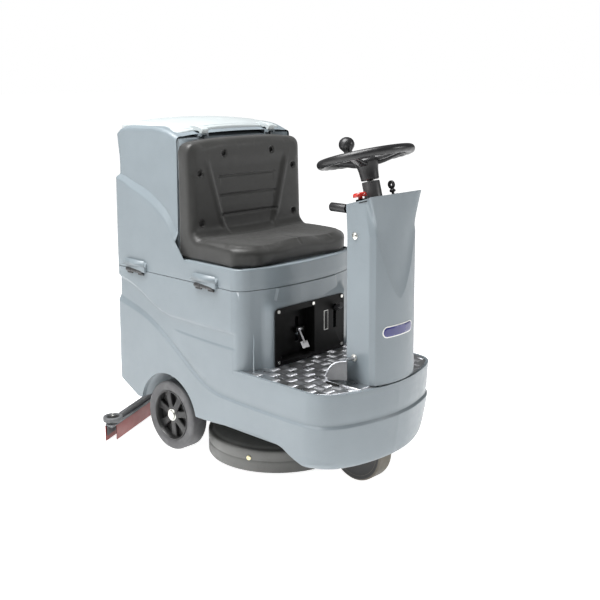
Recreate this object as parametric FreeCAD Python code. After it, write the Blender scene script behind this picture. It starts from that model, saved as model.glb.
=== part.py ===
import FreeCAD, Part
import math
import os

# Ride-on floor scrubber. Millimetres.
# +X is the direction of travel, +Y the driver's left, +Z up, with the floor at Z = 0.

V = FreeCAD.Vector
Y_AXIS = V(0, 1, 0)
Z_AXIS = V(0, 0, 1)

# ---- driving dimensions -------------------------------------------------------------

REAR_AXLE_X = -203.5
REAR_WHEEL_R = 117.0
REAR_WHEEL_W = 66.0
REAR_WHEEL_FACE = 262.0
ARCH_R = 148.0

HALF_WIDTH = 270.0
TANK_REAR = -487.0
TANK_NOSE = 200.0
APRON_NOSE = 573.5
SKIRT_Z = 153.0
SKIRT_FRONT_Z = 112.0
RIM_Z = 347.0
SEAM_Z = 599.0
SEAT_BASE_Z = 667.0
SHOULDER_Z = 911.0
TANK_TOP_Z = 1090.0
LID_TOP_Z = 1112.0
WALL = 8.0

BAY_REAR = -250.0
BAY_FRONT = 100.0
BAY_HALF = 185.0
BAY_FLOOR = 256.0

TILT_Y = -274.0
TILT_Z = 597.0
TILT_PIN_R = 4.0

LID_HINGE_X = -136.0
LID_HINGE_Z = 1078.0
LID_TAB_Y = 152.0

SEAT_BACK_X = -145.5
SEAT_BACK_FRONT = -92.0
SEAT_NOSE = 175.0
SEAT_HALF = 262.0
SEAT_TOP_Z = 1066.0

RAIL_Y0 = 120.0
RAIL_Y1 = 150.0
RAIL_Z0 = 215.0
RAIL_Z1 = 245.0
RAIL_FRONT = 514.0

KINGPIN_X = 421.0
KINGPIN_R = 15.0
HEAD_PLATE_Z = 268.0
DRIVE_WHEEL_R = 104.0
DRIVE_WHEEL_W = 62.0
GEAR_MODULE = 3.0
GEAR_TEETH = 39
PINION_TEETH = 13
GEAR_Z = 286.0
GEAR_THICK = 12.0
PINION_X = KINGPIN_X + GEAR_MODULE * (GEAR_TEETH + PINION_TEETH) / 2
PINION_SHAFT_R = 9.0

STEER_TILT = 15.0
STEER_X = 464.5
STEER_Z = 905.0
STEER_SHAFT_R = 10.0
RING_R = 134.0
RING_TUBE_R = 13.0
RING_S = 117.0
JOINT_S = -(PINION_X - STEER_X) / math.sin(math.radians(STEER_TILT))
DASH_S = -17.0
KNOB_ANGLE = 153.0

COLUMN_REAR = 451.5
COLUMN_HALF = 103.0

RUNNING = 0.05

DECK_X = 60.0
DECK_R = 242.0
DECK_TOP_Z = 118.0
DECK_SKIRT_Z = 10.0
GUIDE_R = 8.0
GUIDE_Y = 95.0

SQUEEGEE_PIVOT_X = -335.0
SQUEEGEE_PIVOT_Z = 180.0
BLADE_TIP_X = -412.0
BLADE_TIP_Y = 374.0
BLADE_BEND_X = -532.0
BLADE_BEND_Y = 120.0
BLADE_MID_X = -559.0
STRAP_BACK = 17.66
PORT_X = -536.0
ROLLER_X = -424.0
ROLLER_Y = 340.0
ROLLER_Z = 64.0
ROLLER_R = 34.0

PEDAL_X = 410.0
PEDAL_Z = 356.0
DECK_LEVER_X = 166.0
DECK_LEVER_Y = 115.0
DECK_LEVER_Z = 465.0
FOOT_LEVER_X = 172.0
FOOT_LEVER_Y = -22.0
FOOT_LEVER_Z = 440.0


# ---- helpers ------------------------------------------------------------------------

def box(x0, x1, y0, y1, z0, z1):
    return Part.makeBox(x1 - x0, y1 - y0, z1 - z0, V(x0, y0, z0))


def both_sides(x0, x1, y0, y1, z0, z1):
    return [box(x0, x1, y0, y1, z0, z1), box(x0, x1, -y1, -y0, z0, z1)]


def rod(radius, start, end):
    direction = end - start
    return Part.makeCylinder(radius, direction.Length, start, direction)


def ring(outer, inner, start, end):
    return rod(outer, start, end).cut(rod(inner, start, end))


def join(shapes):
    return shapes[0].fuse(shapes[1:]).removeSplitter() if len(shapes) > 1 else shapes[0]


def remove(shape, tools):
    return shape.cut(tools)


def polygon_xz(points, y0, y1):
    corners = [V(x, y0, z) for x, z in points]
    wire = Part.makePolygon(corners + corners[:1])
    return Part.Face(wire).extrude(V(0, y1 - y0, 0))


def polygon_xy(points, z0, z1):
    corners = [V(x, y, z0) for x, y in points]
    wire = Part.makePolygon(corners + corners[:1])
    return Part.Face(wire).extrude(V(0, 0, z1 - z0))


def plan_wire(path, z):
    """A closed plan outline from ('line', end) and ('arc', middle, end) steps."""
    here = path[0]
    edges = []
    for step in path[1:]:
        a = V(here[0], here[1], z)
        if step[0] == "arc":
            middle = V(step[1][0], step[1][1], z)
            end = step[2]
            edges.append(Part.Arc(a, middle, V(end[0], end[1], z)).toShape())
        else:
            end = step[1]
            edges.append(Part.LineSegment(a, V(end[0], end[1], z)).toShape())
        here = end
    return Part.Wire(edges)


def plan_prism(path, z0, z1):
    return Part.Face(plan_wire(path, z0)).extrude(V(0, 0, z1 - z0))


def mirrored_path(start, steps):
    """Completes an outline given for the right side (Y < 0) by its mirror image."""
    path = [start] + steps
    here = start
    back = []
    for step in steps:
        target = (here[0], -here[1])
        if step[0] == "arc":
            back.append(("arc", (step[1][0], -step[1][1]), target))
        else:
            back.append(("line", target))
        here = step[-1]
    if here[1] != 0:
        path.append(("line", (here[0], -here[1])))
    path.extend(reversed(back))
    if start[1] != 0:
        path.append(("line", start))
    return path


def rounded_box(x0, x1, y0, y1, z0, z1, radius):
    solid = box(x0, x1, y0, y1, z0, z1)
    upright = [e for e in solid.Edges if abs(e.tangentAt(e.FirstParameter).z) > 0.99]
    return solid.makeFillet(radius, upright)


def on_column(shape):
    """Moves a shape from the steering axis's own frame to its place."""
    shape.rotate(V(0, 0, 0), Y_AXIS, -STEER_TILT)
    shape.translate(V(STEER_X, 0, STEER_Z))
    return shape


def dome(x0, x1, y0, y1, edge_z, top_z, bottom_z):
    """The space under a surface that is arched both along X and along Y."""
    xm = (x0 + x1) / 2
    ym = (y0 + y1) / 2
    along = Part.Wire([
        Part.Arc(V(x0, y0, edge_z), V(xm, y0, top_z), V(x1, y0, edge_z)).toShape(),
        Part.LineSegment(V(x1, y0, edge_z), V(x1, y0, bottom_z)).toShape(),
        Part.LineSegment(V(x1, y0, bottom_z), V(x0, y0, bottom_z)).toShape(),
        Part.LineSegment(V(x0, y0, bottom_z), V(x0, y0, edge_z)).toShape()])
    across = Part.Wire([
        Part.Arc(V(x0, y0, edge_z + 8), V(x0, ym, top_z), V(x0, y1, edge_z + 8)).toShape(),
        Part.LineSegment(V(x0, y1, edge_z + 8), V(x0, y1, bottom_z)).toShape(),
        Part.LineSegment(V(x0, y1, bottom_z), V(x0, y0, bottom_z)).toShape(),
        Part.LineSegment(V(x0, y0, bottom_z), V(x0, y0, edge_z + 8)).toShape()])
    first = Part.Face(along).extrude(V(0, y1 - y0, 0))
    return first.common(Part.Face(across).extrude(V(x1 - x0, 0, 0)))


# ---- lower body and footplate ---------------------------------------------------------

def tank_plan(inset=0.0):
    """Plan of both tanks: square rear with rounded corners, bowed front."""
    w = HALF_WIDTH - inset
    r = 30.0
    k = r * (1 - math.cos(math.radians(45)))
    rear = TANK_REAR + inset
    nose = TANK_NOSE - inset
    return mirrored_path((rear, 0), [
        ("line", (rear, -w + r)),
        ("arc", (rear + k, -w + k), (rear + r, -w)),
        ("line", (nose - 82, -w)),
        ("arc", (nose - 46, -w + 18), (nose - 30, -w + 56)),
        ("arc", (nose - 8, -w / 2), (nose, 0))])


def apron_plan(half, side_end, corner, shoulder, nose):
    """Plan of the apron at one height, from the tank's side forward round the nose."""
    return mirrored_path((150, 0), [
        ("line", (150, -half)),
        ("line", (side_end, -half)),
        ("arc", corner, shoulder),
        ("arc", ((shoulder[0] + nose) / 2 + 10, shoulder[1] * 0.52), (nose, 0))])


def apron_block(inset=0.0, low=SKIRT_FRONT_Z, high=RIM_Z):
    """Loft through the bottom edge, the belt line and the rim."""
    levels = [
        (low, 254, 390, (462, -228), (500, -180), 541),
        (low + 22, 267, 404, (480, -239), (518, -180), 551),
        (246, 269, 408, (486, -241), (522, -180), 555),
        (high, 270, 408, (498, -246), (537, -180), APRON_NOSE)]
    wires = []
    for z, half, end, corner, shoulder, nose in levels:
        path = apron_plan(half - inset, end - inset / 2,
                          (corner[0] - inset * 0.7, corner[1] + inset * 0.7),
                          (shoulder[0] - inset, shoulder[1] + inset * 0.3), nose - inset)
        wires.append(plan_wire(path, z))
    return Part.makeLoft(wires, True, True)


def tank_side_profile():
    return [(TANK_REAR, 207), (TANK_REAR, 482), (TANK_REAR + 15, 503),
            (TANK_REAR + 26, 558), (TANK_REAR, 572), (TANK_REAR, SEAM_Z),
            (TANK_NOSE + 10, SEAM_Z), (TANK_NOSE + 10, SKIRT_Z), (-37, SKIRT_Z),
            (-37, 150), (-369.5, 150)]


def wheel_arches():
    low = V(REAR_AXLE_X, 184, REAR_WHEEL_R)
    high = V(REAR_AXLE_X, 300, REAR_WHEEL_R)
    left = rod(ARCH_R, low, high)
    right = left.mirror(V(0, 0, 0), Y_AXIS)
    return [left, right]


def hinge_notches():
    return [box(x - 50, x + 50, -HALF_WIDTH - 5, -HALF_WIDTH + 7, 583, 615)
            for x in tilt_hinge_places()]


def tilt_hinge_places():
    return [-365.0, -2.0]


def lower_body():
    tank = polygon_xz(tank_side_profile(), -HALF_WIDTH, HALF_WIDTH)
    bowed = plan_prism(tank_plan(), 100, SEAM_Z)
    straight = box(0, 160, -HALF_WIDTH, HALF_WIDTH, 100, RIM_Z)
    tank = tank.common(bowed.fuse(straight))
    apron = apron_block()
    side_cut = polygon_xz([(100, 100), (100, SKIRT_Z), (331, SKIRT_Z), (366, 136),
                           (412, SKIRT_FRONT_Z + 6), (430, SKIRT_FRONT_Z),
                           (430, 100)], -300, 300)
    body = join([tank, remove(apron, [side_cut])])
    tank_space = box(-479, 92, -262, 262, 276, 474).fuse(box(-453, 92, -262, 262, 474, 590))
    solution = remove(tank_space, [box(BAY_REAR - WALL, 101, -BAY_HALF - WALL, BAY_HALF + WALL,
                                       200, 600)])
    hollows = [
        solution,
        box(BAY_REAR, BAY_FRONT, -BAY_HALF, BAY_HALF, BAY_FLOOR, 600),
        box(108, 158, -190, 190, BAY_FLOOR, 600),
        box(150, 220, -150, 150, 356, 522),
        box(-479, -368, -262, 262, 100, 248),
        box(-369, -38, -176, 176, 100, 248),
        box(-39, 160, -262, 262, 100, 248),
        rod(36, V(-300, 250, 540), V(-300, 280, 540))]
    inner_apron = apron_block(WALL, SKIRT_FRONT_Z - 12, RIM_Z + 1)
    inner_apron = remove(inner_apron, [box(100, 208, -300, 300, 248, 400)])
    body = remove(body, hollows + [inner_apron] + wheel_arches() + hinge_notches())
    return body


def footplate():
    """Tread plate that fills the apron, notched round the tank front and the column."""
    plate = apron_block(WALL + 1, SKIRT_FRONT_Z, RIM_Z + 1)
    plate = plate.common(box(209.5, 600, -300, 300, RIM_Z - 5, RIM_Z))
    hole = box(470, 536, -84, 84, 330, 360)
    return remove(plate, [hole])


def filler_cap():
    cap = ring(35, 30, V(-300, 258, 540), V(-300, 270, 540))
    crown = rod(35, V(-300, 270, 540), V(-300, 272.5, 540))
    grip = [box(-303, -297, 272.5, 273.4, 512, 568)]
    return join([cap, crown] + grip)


# ---- chassis --------------------------------------------------------------------------

def chassis_frame():
    """Welded frame: two rails, cross members, head plate, footplate bars, pivot ears."""
    parts = both_sides(-478, RAIL_FRONT, RAIL_Y0, RAIL_Y1, RAIL_Z0, RAIL_Z1)
    for x in (-478, -350, -80, 165, 300):
        top = RAIL_Z1
        parts.append(box(x, x + 30, -RAIL_Y0, RAIL_Y0, top - 18, top))
    parts.append(box(345, RAIL_FRONT, -RAIL_Y1, RAIL_Y1, HEAD_PLATE_Z, HEAD_PLATE_Z + 8))
    parts += both_sides(345, RAIL_FRONT, RAIL_Y0, RAIL_Y1, RAIL_Z1, HEAD_PLATE_Z)
    for x, reach in ((215, 240), (440, 200)):
        parts += both_sides(x, x + 20, RAIL_Y0, RAIL_Y1, RAIL_Z1, 328)
        parts.append(box(x, x + 20, -reach, reach, 328, 342))
    parts += both_sides(490, RAIL_FRONT, RAIL_Y0, RAIL_Y1, HEAD_PLATE_Z, 342)
    parts += both_sides(-350, -320, 62, 70, 165, RAIL_Z1)
    parts += both_sides(REAR_AXLE_X - 14, REAR_AXLE_X + 14, RAIL_Y0, RAIL_Y1, 100, RAIL_Z0)
    parts += both_sides(DECK_X - 15, DECK_X + 15, GUIDE_Y - 15, RAIL_Y0, 227, RAIL_Z1)
    frame = join(parts)
    holes = [
        rod(25, V(KINGPIN_X, 0, 260), V(KINGPIN_X, 0, 280)),
        rod(14, V(PINION_X, 0, 260), V(PINION_X, 0, 280)),
        rod(10, V(REAR_AXLE_X, -160, REAR_WHEEL_R), V(REAR_AXLE_X, 160, REAR_WHEEL_R)),
        rod(8, V(SQUEEGEE_PIVOT_X, -80, SQUEEGEE_PIVOT_Z),
            V(SQUEEGEE_PIVOT_X, 80, SQUEEGEE_PIVOT_Z))]
    for side in (-1, 1):
        holes.append(rod(GUIDE_R, V(DECK_X, side * GUIDE_Y, 220), V(DECK_X, side * GUIDE_Y, 250)))
    frame = remove(frame, holes)
    guides = [rod(GUIDE_R, V(DECK_X, side * GUIDE_Y, 126), V(DECK_X, side * GUIDE_Y, RAIL_Z1))
              for side in (-1, 1)]
    return join([frame] + guides)


def squeegee_pivot():
    return rod(8, V(SQUEEGEE_PIVOT_X, -74, SQUEEGEE_PIVOT_Z),
               V(SQUEEGEE_PIVOT_X, 74, SQUEEGEE_PIVOT_Z))


def rear_axle():
    axle = rod(10, V(REAR_AXLE_X, -258, REAR_WHEEL_R), V(REAR_AXLE_X, 258, REAR_WHEEL_R))
    nuts = []
    for side in (-1, 1):
        nuts.append(rod(15, V(REAR_AXLE_X, side * 250.5, REAR_WHEEL_R),
                        V(REAR_AXLE_X, side * 259, REAR_WHEEL_R)))
    return join([axle] + nuts)


def steering_bearings():
    """Kingpin housing and pinion bush, set in the head plate."""
    head = ring(25, KINGPIN_R + RUNNING, V(KINGPIN_X, 0, 249), V(KINGPIN_X, 0, 283))
    flange = ring(38, 25, V(KINGPIN_X, 0, 260), V(KINGPIN_X, 0, HEAD_PLATE_Z))
    bush = ring(14, PINION_SHAFT_R + RUNNING, V(PINION_X, 0, 262), V(PINION_X, 0, 283))
    return Part.makeCompound([join([head, flange]), bush])


def batteries():
    blocks = []
    for x0 in (-246, -74):
        case = rounded_box(x0, x0 + 168, -165, 165, BAY_FLOOR + 1, 462, 6)
        posts = [rod(8, V(x0 + 30, y, 462), V(x0 + 30, y, 476)) for y in (-140, 140)]
        blocks.append(join([case] + posts))
    return Part.makeCompound(blocks)


def motor_controller():
    base = box(112, 118, -90, 90, 300, 345)
    fins = [box(118, 136, -86 + 18 * i, -80 + 18 * i, 302, 343) for i in range(10)]
    return join([base] + fins)


def charge_socket():
    """Charging inlet high in the front compartment, facing the left panel edge."""
    flange = box(112, 116, 110, 160, 300, 345)
    barrel = ring(18, 13, V(116, 135, 322), V(146, 135, 322))
    return join([flange, barrel, rod(13, V(116, 135, 322), V(124, 135, 322))])


# ---- panel in the footwell ------------------------------------------------------------

PANEL_BACK = 201.6
PANEL_FRONT = 205.6


def control_panel():
    """Flat plate with an open pocket for the foot lever and a slot for the deck lever."""
    plate = box(PANEL_BACK, PANEL_FRONT, -162, 162, 349, 535)
    top = [e for e in plate.Edges
           if abs(e.tangentAt(e.FirstParameter).x) > 0.99 and e.CenterOfMass.z > 500]
    plate = plate.makeFillet(15, top)
    spacer = both_sides(188, PANEL_BACK, 140, 149, 357, 521)
    pocket = remove(box(160, PANEL_BACK, -140, 20, 358, 520),
                    [box(163, 210, -137, 17, 361, 517)])
    plate = remove(plate, [box(190, 210, -137, 17, 361, 517), box(190, 210, 108, 122, 425, 505)])
    for y, z in panel_bolt_places():
        plate = remove(plate, [rod(3, V(190, y, z), V(210, y, z))])
    slit = box(155, 165, FOOT_LEVER_Y - 8, FOOT_LEVER_Y + 8, 400, 480)
    ears = [box(162, 178, FOOT_LEVER_Y + y, FOOT_LEVER_Y + y + 6, 432, 448) for y in (-18, 12)]
    pins = [rod(4, V(FOOT_LEVER_X, FOOT_LEVER_Y - 18, FOOT_LEVER_Z),
                V(FOOT_LEVER_X, FOOT_LEVER_Y + 18, FOOT_LEVER_Z)),
            rod(4, V(DECK_LEVER_X, DECK_LEVER_Y - 8, DECK_LEVER_Z),
                V(DECK_LEVER_X, DECK_LEVER_Y + 12, DECK_LEVER_Z))]
    bracket = box(158, PANEL_BACK, DECK_LEVER_Y + 8, DECK_LEVER_Y + 13, 452, 478)
    return join([remove(join([plate, pocket] + spacer), [slit]), bracket] + ears + pins)


def panel_bolt_places():
    return [(-148, 526), (10, 526), (148, 526), (-148, 362), (148, 362)]


def cover_bolts():
    """Panel screws and the column cover's side bolts."""
    bolts = []
    for y, z in panel_bolt_places():
        bolts.append(join([rod(5.5, V(PANEL_FRONT, y, z), V(PANEL_FRONT + 3, y, z)),
                           rod(3, V(PANEL_BACK, y, z), V(PANEL_FRONT, y, z))]))
    for side in (-1, 1):
        for z in (425, 795):
            head = COLUMN_HALF
            bolts.append(join([rod(8, V(481.5, side * head, z), V(481.5, side * (head + 4), z)),
                               rod(4, V(481.5, side * (head - 6), z), V(481.5, side * head, z))]))
    return Part.makeCompound(bolts)


def panel_label():
    return box(PANEL_FRONT, PANEL_FRONT + 0.8, 62, 78, 428, 492)


# ---- steering column ------------------------------------------------------------------

def column_plan(half, flare, nose):
    return mirrored_path((COLUMN_REAR, -half), [
        ("line", (538, -half - flare * 0.6)),
        ("line", (555, -half + 10 - flare * 1.55)),
        ("arc", (nose - 4.5, -half * 0.5), (nose, 0))])


def column_solid(inset, bottom=347.4):
    wires = []
    for z, flare, nose in ((bottom, 0.0, 572.5), (804.0, 0.0, 572.5), (925.0, 20.0, 572.5)):
        path = column_plan(COLUMN_HALF - inset, flare, nose - inset)
        wires.append(plan_wire(path, z))
    return Part.makeLoft(wires, True, True)


def column_top_cut(drop=0.0):
    return polygon_xz([(430, 882 - drop), (452, 886 - drop), (514.5, 906 - drop),
                       (560, 919 - drop), (600, 928 - drop), (600, 1000), (430, 1000)], -200, 200)


def column_cover():
    outer = column_solid(0)
    inner = column_solid(4, 340).fuse(box(440, 470, -COLUMN_HALF + 4, COLUMN_HALF - 4, 340, 1000))
    plate_step = box(400, 538, -148, 148, 340, 350.5)
    cover = remove(outer, [inner, column_top_cut(), plate_step])
    holes = [rod(4, V(481.5, -120, z), V(481.5, 120, z)) for z in (425, 795)]
    return remove(cover, holes)


def column_rear_cover():
    plate = box(COLUMN_REAR, COLUMN_REAR + 3, -COLUMN_HALF + 4.3, COLUMN_HALF - 4.3, 353, 880)
    slot = box(440, 460, -99, -75, 855, 885)
    tube_way = on_column(rod(22.4, V(0, 0, -120), V(0, 0, 40)))
    return remove(plate, [slot, tube_way])


def column_frame():
    """Steel channel inside the cover, welded to the base plate on the footplate."""
    back = box(456, 460, -96, 96, 350.5, 846)
    flanges = both_sides(456, 520, 92, 96, 350.5, 846)
    base = rounded_box(404, 537, -147, 147, 347, 350.5, 3)
    shelf = box(460, 530, -92, 92, 690, 696)
    collar = ring(26, 22, V(0, 0, -85), V(0, 0, -65))
    arms = [box(-14, 14, -92, -22, -79, -71), box(-14, 14, 22, 92, -79, -71)]
    clamp = on_column(remove(join([collar] + arms),
                             [rod(22, V(0, 0, -90), V(0, 0, -60))]))
    lever_shelf = box(460, 482, -92, -76, 842, 846)
    lever_pin = rod(3, V(472, -87, 842), V(472, -87, 884))
    pedal_ear = box(408, 424, -110, -106, 350, 364)
    pedal_pin = rod(3, V(PEDAL_X + 6, -150, PEDAL_Z + 1), V(PEDAL_X + 6, -106, PEDAL_Z + 1))
    frame = join([back, base, shelf, clamp, lever_shelf, lever_pin, pedal_ear, pedal_pin]
                 + flanges)
    holes = [rod(PINION_SHAFT_R + RUNNING, V(PINION_X, 0, 680), V(PINION_X, 0, 700)),
             box(470, 530, -80, 80, 345, 352), on_column(rod(22, V(0, 0, -120), V(0, 0, 40)))]
    for z in (425, 795):
        holes.append(rod(4, V(481.5, -120, z), V(481.5, 120, z)))
    return remove(frame, holes)


def column_badge():
    """Blank capsule plate on the column's front."""
    plate = box(560, 580, -62, 62, 495, 523)
    shell = remove(column_solid(-2.2), [column_solid(0.0)])
    return plate.common(shell)


def dash_panel():
    plate = on_column(box(-20, 112, -130, 130, DASH_S - 3, DASH_S))
    plate = plate.common(column_solid(4.6, 340))
    holes = [rod(22.4, V(0, 0, -40), V(0, 0, 0)), rod(9, V(-2, -58, -40), V(-2, -58, 0)),
             rod(10, V(38, 48, -40), V(38, 48, 0)), rod(20, V(45, -45, -40), V(45, -45, 0))]
    return remove(plate, [on_column(h) for h in holes])


def column_tube():
    """Fixed tube that carries the steering shaft in bushes at both ends."""
    tube = ring(22, 15, V(0, 0, -104), V(0, 0, 42))
    bushes = [ring(15, STEER_SHAFT_R + RUNNING, V(0, 0, s), V(0, 0, s + 20)) for s in (-104, 22)]
    return on_column(join([tube] + bushes))


def yoke(toward_x, up):
    """Fork end of a shaft at a universal joint centred on the origin."""
    sign = -1 if up else 1
    plate = rod(16, V(0, 0, sign * -24), V(0, 0, sign * -18))
    ears = []
    for side in (-1, 1):
        low, high = sorted((sign * -18, sign * 7))
        if toward_x:
            x0, x1 = sorted((side * 12.5, side * 16))
            ears.append(box(x0, x1, -7, 7, low, high))
        else:
            y0, y1 = sorted((side * 12.5, side * 16))
            ears.append(box(-7, 7, y0, y1, low, high))
    return join([plate] + ears)


def steering_shaft():
    shaft = rod(STEER_SHAFT_R, V(0, 0, JOINT_S + 18), V(0, 0, 96))
    fork = yoke(False, True)
    fork.translate(V(0, 0, JOINT_S))
    return on_column(join([shaft, fork]))


def steering_wheel():
    """Rim, three spokes and a tapered hub boot in one moulding."""
    rim = Part.makeTorus(RING_R, RING_TUBE_R, V(0, 0, RING_S))
    hub = Part.makeCone(24, 32, 62, V(0, 0, 48))
    spokes = []
    for angle in (50, 170, 290):
        arm = polygon_xz([(20, 96), (20, 110), (60, 112), (RING_R - 6, 121),
                          (RING_R - 6, 113), (60, 100)], -11, 11)
        arm.rotate(V(0, 0, 0), Z_AXIS, angle)
        spokes.append(arm)
    wheel = join([rim, hub] + spokes)
    bores = [rod(STEER_SHAFT_R, V(0, 0, 40), V(0, 0, 96)),
             rod(18, V(0, 0, 40), V(0, 0, 60)),
             rod(15.5, V(0, 0, 96), V(0, 0, 115))]
    post = rod(5, knob_point(RING_S + 10), knob_point(178))
    return on_column(remove(wheel, bores).fuse(post).removeSplitter())


def knob_point(s):
    angle = math.radians(KNOB_ANGLE)
    return V(RING_R * math.cos(angle), RING_R * math.sin(angle), s)


def steering_hub_cap():
    cap = rod(15.5, V(0, 0, 98), V(0, 0, 111))
    crown = rod(28, V(0, 0, 111), V(0, 0, 117))
    return on_column(join([cap, crown]))


def spinner_knob():
    ball = Part.makeSphere(23.5, knob_point(167))
    neck = Part.makeCone(13, 18, 24, knob_point(134))
    knob = join([ball, neck])
    return on_column(remove(knob, [rod(5 + RUNNING, knob_point(120), knob_point(179))]))


def gear_profile(teeth, module, backlash, phase):
    """Involute tooth outline; each flank is thinned by half the backlash."""
    pitch = module * teeth / 2
    base = pitch * math.cos(math.radians(20))
    root = pitch - 1.3 * module
    tip = pitch + 0.9 * module
    half = math.pi / (2 * teeth) - backlash / (2 * pitch)
    spread = math.tan(math.radians(20)) - math.radians(20)
    points = []
    steps = 6
    for tooth in range(teeth):
        centre = phase + 2 * math.pi * tooth / teeth
        flank = []
        for i in range(steps + 1):
            r = max(base, root) + (tip - max(base, root)) * i / steps
            a = math.acos(min(1.0, base / r))
            flank.append((r, half + spread - (math.tan(a) - a)))
        first = (root, flank[0][1])
        side = [first] + flank
        for r, angle in side:
            points.append((r * math.cos(centre - angle), r * math.sin(centre - angle)))
        for r, angle in reversed(side):
            points.append((r * math.cos(centre + angle), r * math.sin(centre + angle)))
    return points


def gear_solid(teeth, x, phase):
    points = [(x + px, py) for px, py in gear_profile(teeth, GEAR_MODULE, 0.5, phase)]
    return polygon_xy(points, GEAR_Z, GEAR_Z + GEAR_THICK)


def pinion_shaft():
    shaft = rod(PINION_SHAFT_R, V(PINION_X, 0, 258), V(PINION_X, 0, 752))
    pinion = gear_solid(PINION_TEETH, PINION_X, math.pi + math.pi / PINION_TEETH)
    fork = yoke(True, False)
    pins = [rod(4.5, V(-12.5, 0, 0), V(12.5, 0, 0)), rod(4.5, V(0, -10.5, 0), V(0, 10.5, 0)),
            Part.makeSphere(7, V(0, 0, 0))]
    top = join([fork] + pins)
    joint_z = STEER_Z + JOINT_S * math.cos(math.radians(STEER_TILT))
    top.translate(V(PINION_X, 0, joint_z))
    stem = rod(PINION_SHAFT_R, V(PINION_X, 0, 740), V(PINION_X, 0, joint_z - 18))
    return join([shaft, pinion, stem, top])


def steering_gear():
    gear = gear_solid(GEAR_TEETH, KINGPIN_X, 0)
    return remove(gear, [rod(KINGPIN_R, V(KINGPIN_X, 0, 280), V(KINGPIN_X, 0, 300))])


# ---- drive unit -----------------------------------------------------------------------

def drive_fork():
    crown = box(KINGPIN_X - 32, KINGPIN_X + 32, -62, 62, 236, 246)
    pin = rod(KINGPIN_R, V(KINGPIN_X, 0, 240), V(KINGPIN_X, 0, 306))
    shoulder = rod(22, V(KINGPIN_X, 0, 246), V(KINGPIN_X, 0, 248.5))
    nut = rod(24, V(KINGPIN_X, 0, GEAR_Z + GEAR_THICK), V(KINGPIN_X, 0, 308))
    legs = both_sides(KINGPIN_X - 26, KINGPIN_X + 26, 40, 48, 92, 240)
    fork = join([crown, pin, shoulder, nut] + legs)
    return remove(fork, [rod(10, V(KINGPIN_X, -60, DRIVE_WHEEL_R), V(KINGPIN_X, 60, DRIVE_WHEEL_R))])


def drive_axle():
    return rod(10, V(KINGPIN_X, -52, DRIVE_WHEEL_R), V(KINGPIN_X, 48, DRIVE_WHEEL_R))


def drive_motor():
    """Geared motor bolted to the left leg of the fork."""
    gearbox = rod(44, V(KINGPIN_X, 48, DRIVE_WHEEL_R + 18), V(KINGPIN_X, 72, DRIVE_WHEEL_R + 18))
    motor = rod(38, V(KINGPIN_X, 72, DRIVE_WHEEL_R + 18), V(KINGPIN_X, 105, DRIVE_WHEEL_R + 18))
    return join([gearbox, motor])


def wheel_rim(x, y_out, width, side, radius, bore, spokes):
    """Cast rim: hub, spokes and a bead ring, open between the spokes."""
    r = radius * 0.72
    inner = y_out - side * width
    hub = rod(24, V(x, y_out - side * 8, radius), V(x, inner + side * 2, radius))
    bead = ring(r, r - 10, V(x, y_out - side * 3, radius), V(x, inner + side * 3, radius))
    web = ring(r - 6, 20, V(x, y_out - side * 28, radius), V(x, y_out - side * 34, radius))
    ribs = []
    for i in range(spokes):
        y0, y1 = sorted((y_out - side * 6, y_out - side * 30))
        rib = box(x + 18, x + r - 5, y0, y1, radius - 6, radius + 6)
        rib.rotate(V(x, 0, radius), Y_AXIS, 360.0 * i / spokes)
        ribs.append(rib)
    rim = join([hub, bead, web] + ribs)
    ends = V(x, -300, radius), V(x, 300, radius)
    recess = rod(16, V(x, y_out - side * 12, radius), V(x, y_out + side * 5, radius))
    return remove(rim, [rod(bore, ends[0], ends[1]), recess])


def tyre(x, y_out, width, side, radius):
    start = V(x, y_out, radius)
    solid = rod(radius, start, V(x, y_out - side * width, radius))
    solid = solid.makeFillet(9, [e for e in solid.Edges if e.Length < 1.01 * 2 * math.pi * radius
                                 and e.Length > 0.99 * 2 * math.pi * radius])
    return remove(solid, [rod(radius * 0.72, V(x, -300, radius), V(x, 300, radius))])


def rear_rim(side):
    return wheel_rim(REAR_AXLE_X, side * REAR_WHEEL_FACE, REAR_WHEEL_W, side, REAR_WHEEL_R,
                     10 + RUNNING, 8)


def rear_tyre(side):
    return tyre(REAR_AXLE_X, side * REAR_WHEEL_FACE, REAR_WHEEL_W, side, REAR_WHEEL_R)


def drive_rim():
    r = DRIVE_WHEEL_R * 0.72
    half = DRIVE_WHEEL_W / 2
    rim = join([ring(r, r - 10, V(KINGPIN_X, -half + 3, DRIVE_WHEEL_R),
                     V(KINGPIN_X, half - 3, DRIVE_WHEEL_R)),
                rod(r - 6, V(KINGPIN_X, -half + 12, DRIVE_WHEEL_R),
                    V(KINGPIN_X, half - 12, DRIVE_WHEEL_R)),
                rod(30, V(KINGPIN_X, -half - 4, DRIVE_WHEEL_R),
                    V(KINGPIN_X, half + 4, DRIVE_WHEEL_R))])
    return remove(rim, [rod(10 + RUNNING, V(KINGPIN_X, -80, DRIVE_WHEEL_R),
                            V(KINGPIN_X, 80, DRIVE_WHEEL_R))])


def drive_tyre():
    return tyre(KINGPIN_X, DRIVE_WHEEL_W / 2, DRIVE_WHEEL_W, 1, DRIVE_WHEEL_R)


# ---- recovery tank, lid and seat ------------------------------------------------------

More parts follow.
